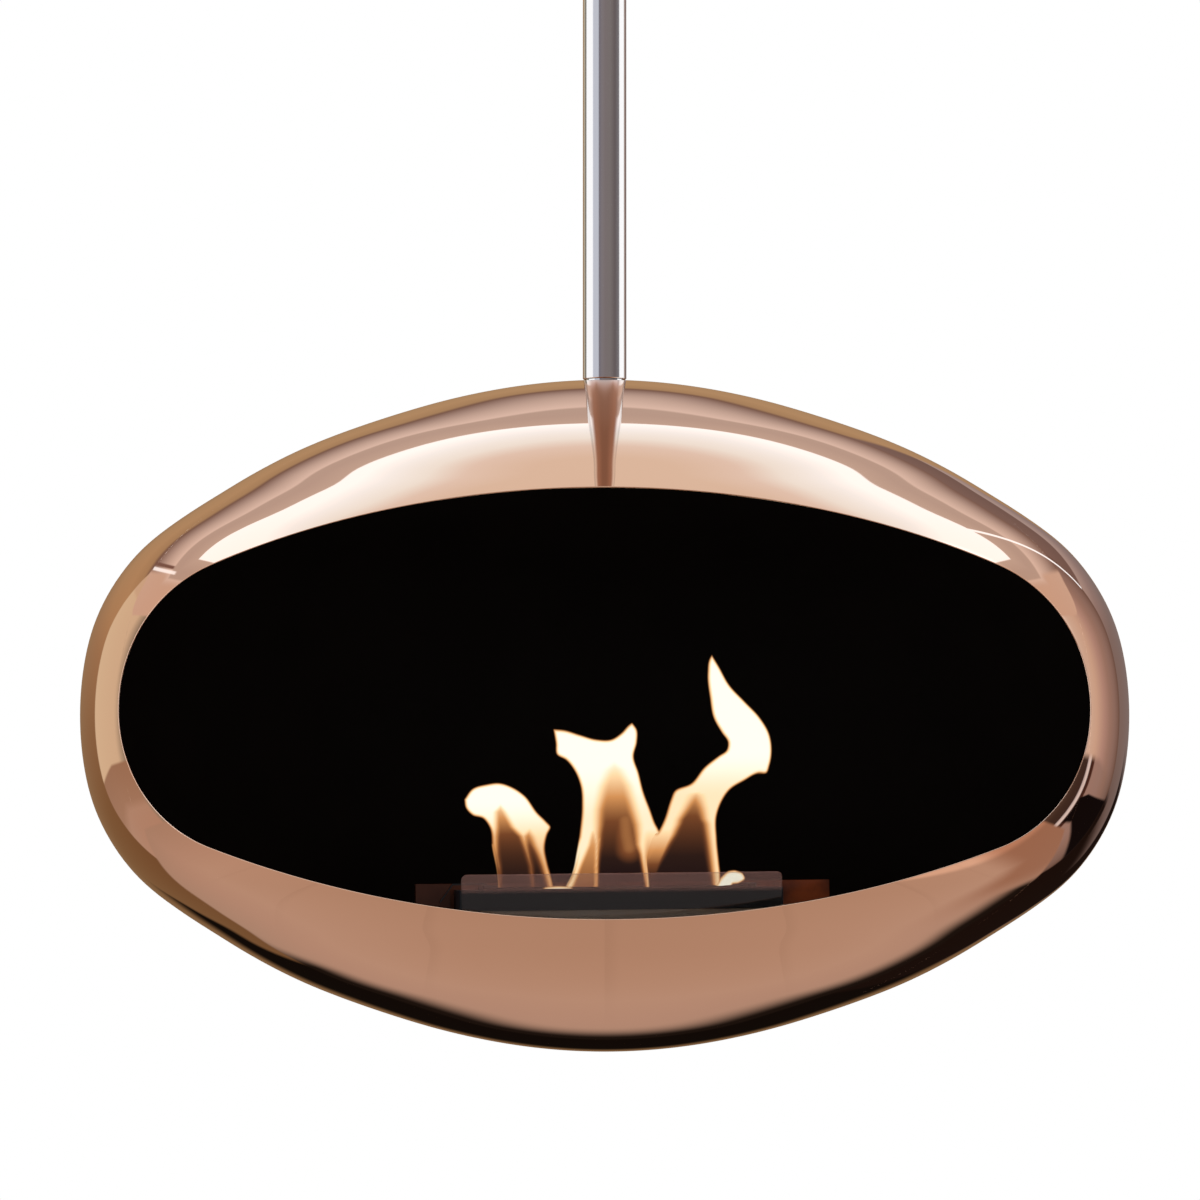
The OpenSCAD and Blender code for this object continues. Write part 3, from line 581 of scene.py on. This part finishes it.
def guard_glass():
    """Clear glass that shows by its gloss. Above the burner's top a thin film of soot and vapour lies on it.
    The film's pink tone is painted firelight, and a stronger band of it along the upper edge is a painted
    highlight."""
    glass = Finish("guard_glass")
    place = burner_place(glass)
    height = glass.axis(place, "Z")
    streak = glass.noise(glass.stretched(place, (60, 60, 240)), 1, 4)
    film = height.rise(BURNER_TOP - 0.004, BURNER_TOP + 0.001) * (streak * 0.05 + 0.09)
    # Painted highlight: more of the pink film in a band along the glass's upper edge.
    edge = height.rise(GLASS_TOP - 0.0014, GLASS_TOP - 0.0004) * 0.10
    # The film's pink colour is painted firelight on a film of soot and vapour.
    glass.surface(Base_Color=glass.blend(streak, (0.80, 0.36, 0.29), (0.92, 0.46, 0.38)),
                  Roughness=streak * 0.3 + 0.35)
    clear = glass.node("BsdfTransparent", values={"Color": (0.93, 0.94, 0.93)})
    gloss = glass.node("BsdfGlossy", values={"Roughness": 0.03})
    pane = glass.node("MixShader", values=[glass.node("Fresnel", values={"IOR": 1.47}), clear, gloss])
    coated = glass.node("MixShader", values=[film + edge, pane, Wire(glass, glass.shader.outputs[0])])
    return glass.cover(coated)


dressed("folded_lid", "sliding_lid", "lid", paint, 0.0004)
dressed("bent_lid_pull", "lid_pull", "lid", paint, 0.0003)
dressed("bevelled_glass", "glass_guard", "glass", guard_glass(), 0.0005)

# ---- Flames ----
# Three tongues of burning alcohol stand in the slot, with two low ones at their feet. Each
# is a thin closed skin of light, cream in its body, orange at its rim, and hollow and
# brown just above the fuel.
FLAME_DEPTH = -0.116
FLAME_SHIFT = -0.0011
FLAME_HALF_THICKNESS = 0.010


def ease(value):
    """0 below 0, 1 above 1 and a smooth step between."""
    value = np.clip(value, 0, 1)
    return value * value * (3 - 2 * value)


def smooth_line(knots, count):
    """A curve through the knots, even along its length, of cubic stretches. At each knot it
    points along the line between the knot's neighbours."""
    knots = np.array(knots, float)
    step = np.linalg.norm(np.diff(knots, axis=0), axis=1)
    at = np.concatenate([[0], np.cumsum(step)])
    way = np.gradient(knots, at, axis=0)
    place = np.linspace(0, at[-1], count)
    index = np.clip(np.searchsorted(at, place, side="right") - 1, 0, len(step) - 1)
    t = ((place - at[index]) / step[index])[:, None]
    length = step[index][:, None]
    return ((2 * t ** 3 - 3 * t ** 2 + 1) * knots[index] + (3 * t ** 2 - 2 * t ** 3) * knots[index + 1]
            + length * ((t ** 3 - 2 * t ** 2 + t) * way[index] + (t ** 3 - t ** 2) * way[index + 1]))


def distance(points, line):
    """From each point to the nearest stretch of a line."""
    start, way = line[:-1], np.diff(line, axis=0)
    gap = points[:, None] - start
    share = np.clip((gap * way).sum(-1) / np.maximum((way ** 2).sum(-1), 1e-12), 0, 1)
    return np.linalg.norm(gap - share[..., None] * way, axis=-1).min(1)


def hollow_depth(points, hollow):
    """How dark a hollow makes each point, 0 to 1. A hollow is a power, a depth, and rows of
    (height, left, right, softness of the sides) from its tip down, in millimetres. It darkens
    from the tip to the fuel, by the power of the share of that way, up to the depth."""
    power, depth, rows = hollow
    height, left, right, soft = np.array(rows, float)[::-1].T
    u, w = points.T
    inside = np.minimum(u - np.interp(w, height, left), np.interp(w, height, right) - u)
    below = (height[-1] - w) / (height[-1] - height[0])
    return depth * ease(inside / np.interp(w, height, soft)) * np.clip(below, 0, 1) ** power


def flame(name, left, right, top=None, hollows=(), streaks=(), cooling=(0, 1, 0), joined=None, forward=0.0):
    """A tongue between a left and a right outline, both from the fuel up, in millimetres in
    the burner's axes. Lines ruled between the two make a sheet, a top outline lifts its last
    rows, and a lens-shaped thickness makes it a closed skin, that many metres forward. Heat
    grows inwards from the rim. Cooling is (from that height, over that way down, by that
    share), a streak is (warmth, width, line), and joined is (side, from height, to height)
    where an outline has no rim as it runs into a neighbour."""
    rows, columns = 120, 72
    rim_heat, rim_glow, rim_fade = 0.42, 3.5, 2.2
    rim = [smooth_line(left, rows), smooth_line(right, rows)]
    left, right = rim[0][:, None], rim[1][:, None]
    rise = np.linspace(0, 1, rows)[:, None]
    across = (1 - np.cos(np.linspace(0, np.pi, columns))) / 2
    sheet = left * (1 - across[:, None]) + right * across[:, None]
    if top:
        top = smooth_line(top, 200)
        spread = np.stack([np.interp(across, np.linspace(0, 1, 200), top[:, i]) for i in (0, 1)], -1)
        sheet = sheet + rise[..., None] ** 7 * (spread - sheet[-1])
        rim.append(top)
    if joined:
        side, low, high = joined
        line = rim.pop(side)
        rim += [part for part in (line[line[:, 1] < low], line[line[:, 1] > high]) if len(part) > 1]
    thick = FLAME_HALF_THICKNESS * np.sqrt(4 * across * (1 - across)) * (1 - 0.5 * rise)
    thick = thick * np.sqrt(np.clip(rise / 0.04, 0, 1)) * np.sqrt(np.clip((1 - rise) / 0.1, 0, 1))
    depth = FLAME_DEPTH - forward + 0.004 * np.sin(sheet[..., 1] / 22 + sheet[..., 0] / 40)
    skins = [np.stack([sheet[..., 0] / 1000 + FLAME_SHIFT, depth + side * thick, sheet[..., 1] / 1000], -1)
             for side in (-1, 1)]
    points = np.concatenate(skins).reshape(-1, 3)
    faces = np.array(grid_faces(rows, columns))
    faces = np.concatenate([faces, faces[:, ::-1] + rows * columns])
    flat = sheet.reshape(-1, 2)
    near = np.min([distance(flat, line) for line in rim], axis=0)
    heat = rim_heat + (1 - rim_heat) * ease(near / rim_glow)
    heat = heat * (1 - cooling[2] * ease((cooling[0] - flat[:, 1]) / cooling[1]))
    heat = heat * (1 - np.max([hollow_depth(flat, hollow) for hollow in hollows] + [0 * near], axis=0))
    for warmth, width, line in streaks:
        heat = np.maximum(heat, warmth * np.exp(-(distance(flat, np.array(line, float)) / width) ** 2))
    veil = ease((near + 0.1) / rim_fade) * (0.25 + 0.75 * np.clip(heat * 1.6, 0, 1))
    made = object_of(name, [tuple(BURNER_AXES @ Vector(point)) for point in points], faces.tolist(), [fire])
    for key, values in (("warmth", heat), ("veil", veil)):
        made.data.attributes.new(key, "FLOAT", "POINT").data.foreach_set("value", np.tile(values, 2))
    merge(made)
    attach(made, "burner")


def merge(made):
    """Joins the points that lie on each other, and drops faces without an area."""
    shape = bmesh.new()
    shape.from_mesh(made.data)
    bmesh.ops.remove_doubles(shape, verts=shape.verts, dist=2e-6)
    bmesh.ops.dissolve_degenerate(shape, edges=shape.edges, dist=1e-7)
    shape.to_mesh(made.data)
    shape.free()


def fire_light():
    """Burning gas: its own light, by the heat stored in the mesh, and no surface at all."""
    light = Finish("fire_light")
    heat = light.node("Attribute", {"attribute_name": "warmth"}, output="Fac")
    veil = light.node("Attribute", {"attribute_name": "veil"}, output="Fac")
    glow = light.ramp(heat, (0, (0.012, 0.007, 0.010)), (0.15, (0.034, 0.015, 0.011)),
                      (0.32, (0.19, 0.062, 0.022)), (0.5, (0.62, 0.27, 0.09)), (0.75, (0.97, 0.68, 0.38)),
                      (1, (1, 0.97, 0.82)))
    light.surface(Base_Color=(0, 0, 0), Roughness=1, Specular_IOR_Level=0, Alpha=veil,
                  Emission_Color=glow, Emission_Strength=1.12)
    light.material.cycles.emission_sampling = "NONE"
    return light.material


fire = fire_light()
flame("left_flame",
      [(-101, -148), (-102, -135), (-106, -114), (-108, -97), (-113, -90), (-122, -87), (-128, -80),
       (-129, -73)],
      [(-53, -148), (-54, -143), (-58, -128), (-60, -114), (-58, -104), (-55, -97), (-59, -92),
       (-66, -85), (-77, -70), (-87, -63), (-99, -59), (-109, -60), (-122, -64), (-129, -73)],
      hollows=[(0.3, 0.8, [(-77, -99, -97, 5), (-84, -106, -91, 7), (-97, -106, -84, 8),
                           (-105, -107, -76, 9), (-121, -106, -71, 9), (-130, -104, -69, 8),
                           (-149, -103, -67, 8)]),
               (0.35, 0.85, [(-98, -75, -72, 6), (-105, -83, -67, 9), (-113, -82, -65, 9),
                             (-121, -80, -62, 9), (-130, -78, -59, 9), (-149, -76, -54, 9)])],
      streaks=[(0.5, 2.5, [(-105, -112), (-103, -128), (-101, -148)])],
      cooling=(-74, 52, 0.38))
flame("middle_flame",
      [(-44, -148), (-38, -136), (-34, -119), (-31, -101), (-29, -80), (-30, -63), (-35, -50), (-42, -41),
       (-50, -36), (-51, -26), (-53, -14)],
      [(29, -149), (28, -138), (28, -128), (32, -118), (37, -110), (37, -101), (34, -95), (30, -84),
       (24, -68), (20, -52), (16, -38), (19, -26), (19, -15), (15, -9)],
      top=[(-53, -14), (-43, -15), (-30, -19), (-16, -23), (-3, -23), (5, -18), (12, -11), (15, -9)],
      hollows=[(0.6, 0.97, [(-42, -3, 0, 6), (-49, -13, 11, 12), (-63, -19, 18, 14), (-83, -22, 22, 14),
                            (-96, -22, 25, 14), (-104, -22, 25, 13), (-113, -21, 24, 11),
                            (-121, -20, 25, 8), (-130, -20, 26, 7), (-150, -20, 28, 6)]),
               (0.3, 0.6, [(-101, -22, -17, 3), (-113, -26, -14, 5), (-121, -30, -14, 6),
                           (-130, -34, -14, 6), (-150, -42, -14, 6)]),
               (0.9, 0.95, [(-100, 20, 60, 8), (-150, 20, 60, 8)])],
      streaks=[(0.54, 2.8, [(-15, -108), (-17, -117), (-18, -131), (-18, -149)]),
               (0.84, 3.6, [(-27, -104), (-32, -118), (-37, -132), (-45, -148)]),
               (0.60, 3.0, [(22, -104), (24, -118), (25, -131), (27, -149)]),
               (0.38, 15, [(8, -92), (9, -105), (11, -115)])],
      cooling=(-45, 50, 0.16), joined=(1, -127, -101))
flame("right_flame",
      [(27, -149), (27, -138), (26, -128), (27, -118), (30, -108), (36, -101), (40, -93), (46, -75),
       (49, -68), (64, -61), (75, -48), (88, -38), (95, -33), (96, -27), (91, -19), (84, -6), (81, 11),
       (79, 32), (81, 45), (83, 48)],
      [(89, -148), (89, -140), (88, -130), (86, -109), (86, -89), (90, -78), (97, -68), (110, -60),
       (122, -54), (129, -54), (132, -47), (134, -36), (132, -20), (124, -6), (111, 8), (98, 22),
       (89, 38), (83, 48)],
      hollows=[(0.3, 0.92, [(-70, 58, 77, 14), (-83, 52, 80, 13), (-92, 47, 81, 12), (-96, 46, 83, 12),
                            (-105, 42, 84, 12), (-113, 37, 85, 12), (-122, 32, 86, 12), (-131, 27, 87, 12),
                            (-150, 20, 88, 10)]),
               (0.9, 0.95, [(-100, 0, 60, 8), (-150, 0, 60, 8)])],
      cooling=(-35, 40, 0.2), joined=(0, -200, -104), forward=0.003)
flame("flame_foot",
      [(84, -149), (86, -145), (90, -140), (95, -136), (101, -135)],
      [(99, -148), (105, -147), (110, -143), (108, -138), (101, -135)])
flame("flame_bridge",
      [(-64, -149.5), (-62, -148), (-56, -147), (-50, -146.6)],
      [(-36, -149.5), (-38, -148), (-44, -147), (-50, -146.6)])

# ---- Studio tent ----
# A painted tent that only polished metal sees: pale ceiling with a broad light, brown
# walls and a warm floor, as in the room that such a shell mirrors. Its azimuths and bands
# are in degrees: round from straight ahead to the right, and up from the shell's level.
TENT_RADIUS = 7.0
TENT_COLUMNS, TENT_ROWS = 96, 49
FLOOR_LINE, CEILING_LINE, PANEL_LINE = -26, 26, 44


def painted_walls(paint, azimuth, band):
    """Ochre to the left of straight ahead and mauve to the right, both shaded by the band,
    between a left and a right wall with windows, shaded by azimuth. Below lies a dark foot."""
    ochre = paint.ramp(band, (-26, (0.18, 0.10, 0.045)), (-10, (0.21, 0.12, 0.055)),
                       (0, (0.26, 0.155, 0.08)), (8, (0.34, 0.205, 0.11)), (14, (0.42, 0.265, 0.14)),
                       (20, (0.45, 0.295, 0.16)), (24.5, (0.40, 0.27, 0.15)), (26, (0.20, 0.125, 0.095)))
    mauve = paint.ramp(band, (-26, (0.05, 0.028, 0.02)), (-14, (0.07, 0.045, 0.035)),
                       (-10, (0.14, 0.10, 0.09)), (-1, (0.20, 0.155, 0.145)), (9, (0.22, 0.17, 0.16)),
                       (14, (0.29, 0.22, 0.21)), (18.3, (0.41, 0.33, 0.31)), (18.8, (0.175, 0.115, 0.10)),
                       (26, (0.21, 0.145, 0.13)))
    right = paint.ramp(azimuth, (31, (0.14, 0.085, 0.065)), (33, (0.21, 0.14, 0.12)),
                       (36, (0.27, 0.19, 0.17)), (40, (0.33, 0.23, 0.20)), (44, (0.45, 0.32, 0.29)),
                       (49, (0.62, 0.49, 0.41)), (53, (0.65, 0.56, 0.50)), (58, (1, 1, 1)), (93, (1, 1, 1)),
                       (98, (0.29, 0.27, 0.28)), (123, (0.19, 0.155, 0.155)), (150, (0.28, 0.24, 0.23)),
                       (180, (0.29, 0.24, 0.24)))
    left = paint.ramp(azimuth, (-180, (0.30, 0.25, 0.25)), (-165, (0.31, 0.27, 0.28)),
                      (-151, (0.24, 0.215, 0.25)), (-147, (0.80, 0.82, 0.91)), (-118, (0.80, 0.82, 0.91)),
                      (-112, (1, 1, 1)), (-70, (1, 1, 1)), (-65, (0.29, 0.27, 0.23)),
                      (-54, (0.30, 0.27, 0.22)), (-50, (0.66, 0.57, 0.43)), (-35, (0.68, 0.575, 0.41)))
    low_left = paint.ramp(band, (-26, (0.46, 0.32, 0.25)), (-20, (0.46, 0.33, 0.26)),
                          (-17, (0.38, 0.26, 0.19)), (-7, (0.34, 0.22, 0.15)))
    corner = azimuth.within(-56, -30, 1)
    left = paint.blend(corner * (1 - band.rise(-8, -7.2)), left, low_left)
    left = paint.blend(corner * (band + azimuth * 0.42).rise(6.4, 7.4), left, (0.62, 0.49, 0.36))
    wall = paint.blend(azimuth.rise(11, 12.5), ochre, mauve)
    wall = paint.blend(azimuth.rise(30.8, 31.4), wall, right)
    wall = paint.blend(azimuth.rise(-36.6, -35.8), left, wall)
    foot = azimuth.within(-17.3, 20.5, 0.7) * (1 - band.rise(-16, -9.5))
    wall = paint.blend(foot, wall, (0.006, 0.004, 0.003))
    low_right = paint.ramp(azimuth, (31, (0.14, 0.085, 0.065)), (34, (0.22, 0.155, 0.135)),
                           (38, (0.29, 0.20, 0.17)), (42, (0.32, 0.235, 0.215)), (47.3, (0.34, 0.25, 0.23)),
                           (47.8, (0.07, 0.03, 0.02)), (49.3, (0.05, 0.02, 0.015)),
                           (49.8, (0.78, 0.79, 0.84)), (51.0, (0.60, 0.60, 0.66)),
                           (51.5, (0.05, 0.03, 0.025)), (58, (0.06, 0.04, 0.03)), (90, (0.14, 0.10, 0.09)))
    wall = paint.blend(azimuth.rise(31, 31.5) * (1 - band.rise(-7.5, -5.5)), wall, low_right)
    for begin, end, low, high in [(12, 20.5, -2.5, 0.5), (19.5, 29.5, -15, -7), (28.6, 31.6, -9, -6)]:
        foot = azimuth.within(begin, end, 0.6) * (1 - band.rise(low, high))
        wall = paint.blend(foot, wall, (0.011, 0.006, 0.0045))
    shelf = (1 - (band + azimuth * 0.45).rise(5.3, 6)) * (band + azimuth * 0.2).rise(-15.5, -14)
    return paint.blend(shelf * azimuth.within(31.3, 49, 0.4), wall, (0.006, 0.004, 0.004))


def painted_floor(paint, azimuth, band, x, z):
    """A warm floor of boards that run ahead, darker far off to the right and in a shade
    straight ahead, at the walls' foot."""
    floor = paint.ramp(band, (-90, (0.42, 0.31, 0.24)), (-43, (0.50, 0.375, 0.305)),
                       (-36, (0.475, 0.345, 0.28)), (-26, (0.42, 0.305, 0.24)))
    floor = paint.blend(azimuth.rise(24, 38) * band.rise(-44, -36), floor, (0.34, 0.20, 0.14))
    seams = (x / z.math("MINIMUM", -0.001) * 3.1).math("FRACT").rise(0.9, 1)
    floor = paint.blend(seams * (1 - band.rise(-60, -30)) * 0.10, floor, (0.2, 0.13, 0.09))
    shade = azimuth.within(-19, 30, 2) * band.rise(-34.5, -27.5)
    return paint.blend(shade, floor, (0.012, 0.008, 0.006))


def painted_ceiling(paint, band, across, along):
    """A ceiling that grows paler inwards from the walls up to a thin step, with warm edges
    to both sides and a dark line near the left one."""
    ceiling = paint.ramp(band, (26, (0.20, 0.125, 0.10)), (29, (0.38, 0.30, 0.275)),
                         (32, (0.56, 0.475, 0.44)), (35.8, (0.75, 0.665, 0.63)), (36.5, (0.51, 0.44, 0.405)),
                         (39, (0.51, 0.44, 0.41)), (43.5, (0.57, 0.505, 0.47)))
    edge = across.math("ABSOLUTE").rise(1.4, 1.5) * (1 - band.rise(33, 37))
    ceiling = paint.blend(edge, ceiling, (0.63, 0.49, 0.41))
    line = across.within(-1.365, -1.32, 0.012) * along.within(1.37, 2.15, 0.03)
    return paint.blend(line, ceiling, (0.20, 0.12, 0.10))


def tent_paint():
    """Light from the tent by direction, as in a room with the shell at its middle. The wall
    in front is as far away as it is wide. Height over its distance gives the band: floor,
    wall, ceiling. A light panel, with a tube and a strip beside it, is set into the ceiling.
    Where light is mirrored twice, the wall behind has tones of its own, by the band."""
    paint = Finish("tent_paint")
    place = paint.node("VectorMath", {"operation": "SUBTRACT"}, [paint.place(), (0, 0, SHELL_EQUATOR)])
    x, y, z = (paint.axis(place, name) for name in "XYZ")
    ahead, up = y.math("ABSOLUTE"), z.math("MAXIMUM", 0.001)
    far = ahead.math("MAXIMUM", x.math("ABSOLUTE") - up * 0.136)
    band = z.math("ARCTAN2", far) * (180 / math.pi)
    azimuth = x.math("ARCTAN2", y) * (180 / math.pi)
    aside = azimuth.math("ABSOLUTE")
    across, along = x / up, ahead / up

    wall = painted_walls(paint, azimuth, band)
    floor = painted_floor(paint, azimuth, band, x, z)
    colour = paint.blend(band.rise(FLOOR_LINE - 0.6, FLOOR_LINE + 0.6), floor, wall)
    ceiling = painted_ceiling(paint, band, across, along)
    above = (band + aside.rise(38, 46) * 3).rise(CEILING_LINE - 0.4, CEILING_LINE + 0.6)
    colour = paint.blend(above, colour, ceiling)

    out = (x * x + y * y).math("SQRT") / up
    glow = paint.ramp(out, (0.55, (0.46, 0.435, 0.40)), (0.66, (0.49, 0.49, 0.49)),
                      (0.76, (0.56, 0.67, 0.73)), (0.9, (0.61, 0.76, 0.88)), (1.02, (0.72, 0.87, 1)),
                      (1.6, (0.74, 0.88, 1)))
    panel = band.rise(PANEL_LINE - 0.3, PANEL_LINE + 0.2)
    tube = (across - along * 0.524).within(0.222, 0.264, 0.008) * along.within(1.0, 2.98, 0.03)
    strip = across.within(-1.435, -1.385, 0.012) * along.within(1.27, 2.0, 0.03)
    lit = panel.math("MAXIMUM", tube).math("MAXIMUM", strip * 0.8)
    colour = paint.blend(lit, colour, glow)

    mirrored = paint.node("LightPath", output="Glossy Depth").rise(1.4, 1.6)
    behind = aside.rise(72, 112) * mirrored
    room = paint.ramp(band, (4, (0.38, 0.35, 0.37)), (9, (0.56, 0.51, 0.51)), (14, (0.76, 0.66, 0.65)),
                      (19, (0.76, 0.62, 0.58)), (24, (0.64, 0.46, 0.41)), (29, (0.48, 0.31, 0.24)),
                      (34, (0.40, 0.24, 0.175)), (50, (0.35, 0.20, 0.14)))
    colour = paint.blend(behind, colour, room)
    windows = azimuth.within(-116, -67, 2.5) + azimuth.within(56, 95.5, 2)
    sides = 1 - aside.rise(115, 165)
    strength = (lit * 0.65 + windows * 0.5) * (1 - behind) + behind * sides * 0.35 + 1
    paint.material.cycles.emission_sampling = "NONE"
    return paint.cover(paint.node("Emission", values={"Color": colour, "Strength": strength}))


def studio_tent():
    """A sphere of points at (azimuth, elevation), with its faces turned inwards."""
    turn, rise = np.meshgrid(np.linspace(0, 2 * np.pi, TENT_COLUMNS, endpoint=False),
                             np.linspace(-np.pi / 2, np.pi / 2, TENT_ROWS))
    points = TENT_RADIUS * np.stack([np.cos(rise) * np.cos(turn), np.cos(rise) * np.sin(turn),
                                     np.sin(rise)], -1) + [0, 0, SHELL_EQUATOR]
    return object_of("studio_tent", points.reshape(-1, 3).tolist(),
                     grid_faces(TENT_ROWS, TENT_COLUMNS, wrap=True), [tent_paint()])


tent = studio_tent()
tent.visible_camera = False
tent.visible_diffuse = False
tent.visible_transmission = False
tent.visible_volume_scatter = False
tent.visible_shadow = False

# ---- Studio floor ----
# A pale painted floor well below the object. It keeps the object's shadow, and thins out
# to nothing towards its edge, so that it fades into the white behind it.
FLOOR_HEIGHT = -2.055
FLOOR_RINGS, FLOOR_COLUMNS = 12, 96
FLOOR_INNER, FLOOR_OUTER = 0.01, 3.5


def pale_paint():
    """Matt paint, a little cloudy, that thins out with the radius and doesn't show from
    below."""
    paint = Finish("pale_floor")
    place = paint.place()
    x, y = paint.axis(place, "X"), paint.axis(place, "Y")
    out = (x * x + y * y).math("SQRT")
    below = paint.node("NewGeometry", output="Backfacing")
    clear = out.rise(1.0, 3.4).math("MAXIMUM", below)
    grain = paint.noise(place, 40, 4)
    paint.surface(Base_Color=paint.blend(grain, (0.84, 0.83, 0.815), (0.87, 0.86, 0.85)), Roughness=0.8)
    painted, nothing = Wire(paint, paint.shader.outputs[0]), paint.node("BsdfTransparent")
    return paint.cover(paint.node("MixShader", values=[clear, painted, nothing]))


def studio_floor():
    """A flat disc of rings of points round the pole's axis."""
    turn = np.linspace(0, 2 * np.pi, FLOOR_COLUMNS, endpoint=False)
    radius = np.linspace(FLOOR_INNER, FLOOR_OUTER, FLOOR_RINGS)[:, None]
    points = np.stack([radius * np.cos(turn), radius * np.sin(turn), FLOOR_HEIGHT + 0 * radius * turn], -1)
    return object_of("studio_floor", points.reshape(-1, 3).tolist(),
                     grid_faces(FLOOR_RINGS, FLOOR_COLUMNS, wrap=True), [pale_paint()])


floor = studio_floor()
floor.visible_glossy = False


# ---- Studio lamps ----
# Two soft lamps in front, a small warm one between the flames for their own light, so that
# few samples are enough, and a white world that is plain wherever it is seen.
def lamp(name, kind, place, power):
    """A lamp of that kind and power, in watts, that polished metal doesn't mirror."""
    made = stand(name, bpy.data.lights.new(name, kind))
    made.location = place
    made.data.energy = power
    made.visible_glossy = False
    return made


for name, place, size, power in [("key_lamp", (-2.2, -3.2, 1.6), 2.2, 42),
                                 ("fill_lamp", (2.8, -2.0, 1.1), 2.6, 26)]:
    soft_lamp = lamp(name, "AREA", place, power)
    soft_lamp.data.size = size
    aim = Vector((0, 0, SHELL_EQUATOR)) - Vector(place)
    soft_lamp.rotation_euler = aim.to_track_quat("-Z", "Y").to_euler()

fire_lamp = lamp("fire_lamp", "POINT", BURNER_AXES @ Vector((0.01, FLAME_DEPTH, -0.105)), 0.5)
fire_lamp.data.color = (1, 0.55, 0.3)
fire_lamp.data.shadow_soft_size = 0.03
fire_lamp.visible_camera = False

world = bpy.data.worlds.new("studio")
bpy.context.scene.world = world
sky = Finish("studio", world)
seen = sky.node("LightPath", output="Is Camera Ray")
for ray in ("Is Glossy Ray", "Is Transmission Ray"):
    seen = seen.math("MAXIMUM", sky.node("LightPath", output=ray))
soft = sky.node("Background", values={"Color": (1, 0.99, 0.98), "Strength": 0.75})
white = sky.node("Background", values={"Color": (1, 1, 1), "Strength": 1})
sky.cover(sky.node("MixShader", values=[seen, soft, white]))
bpy.context.scene.view_settings.view_transform = "Standard"
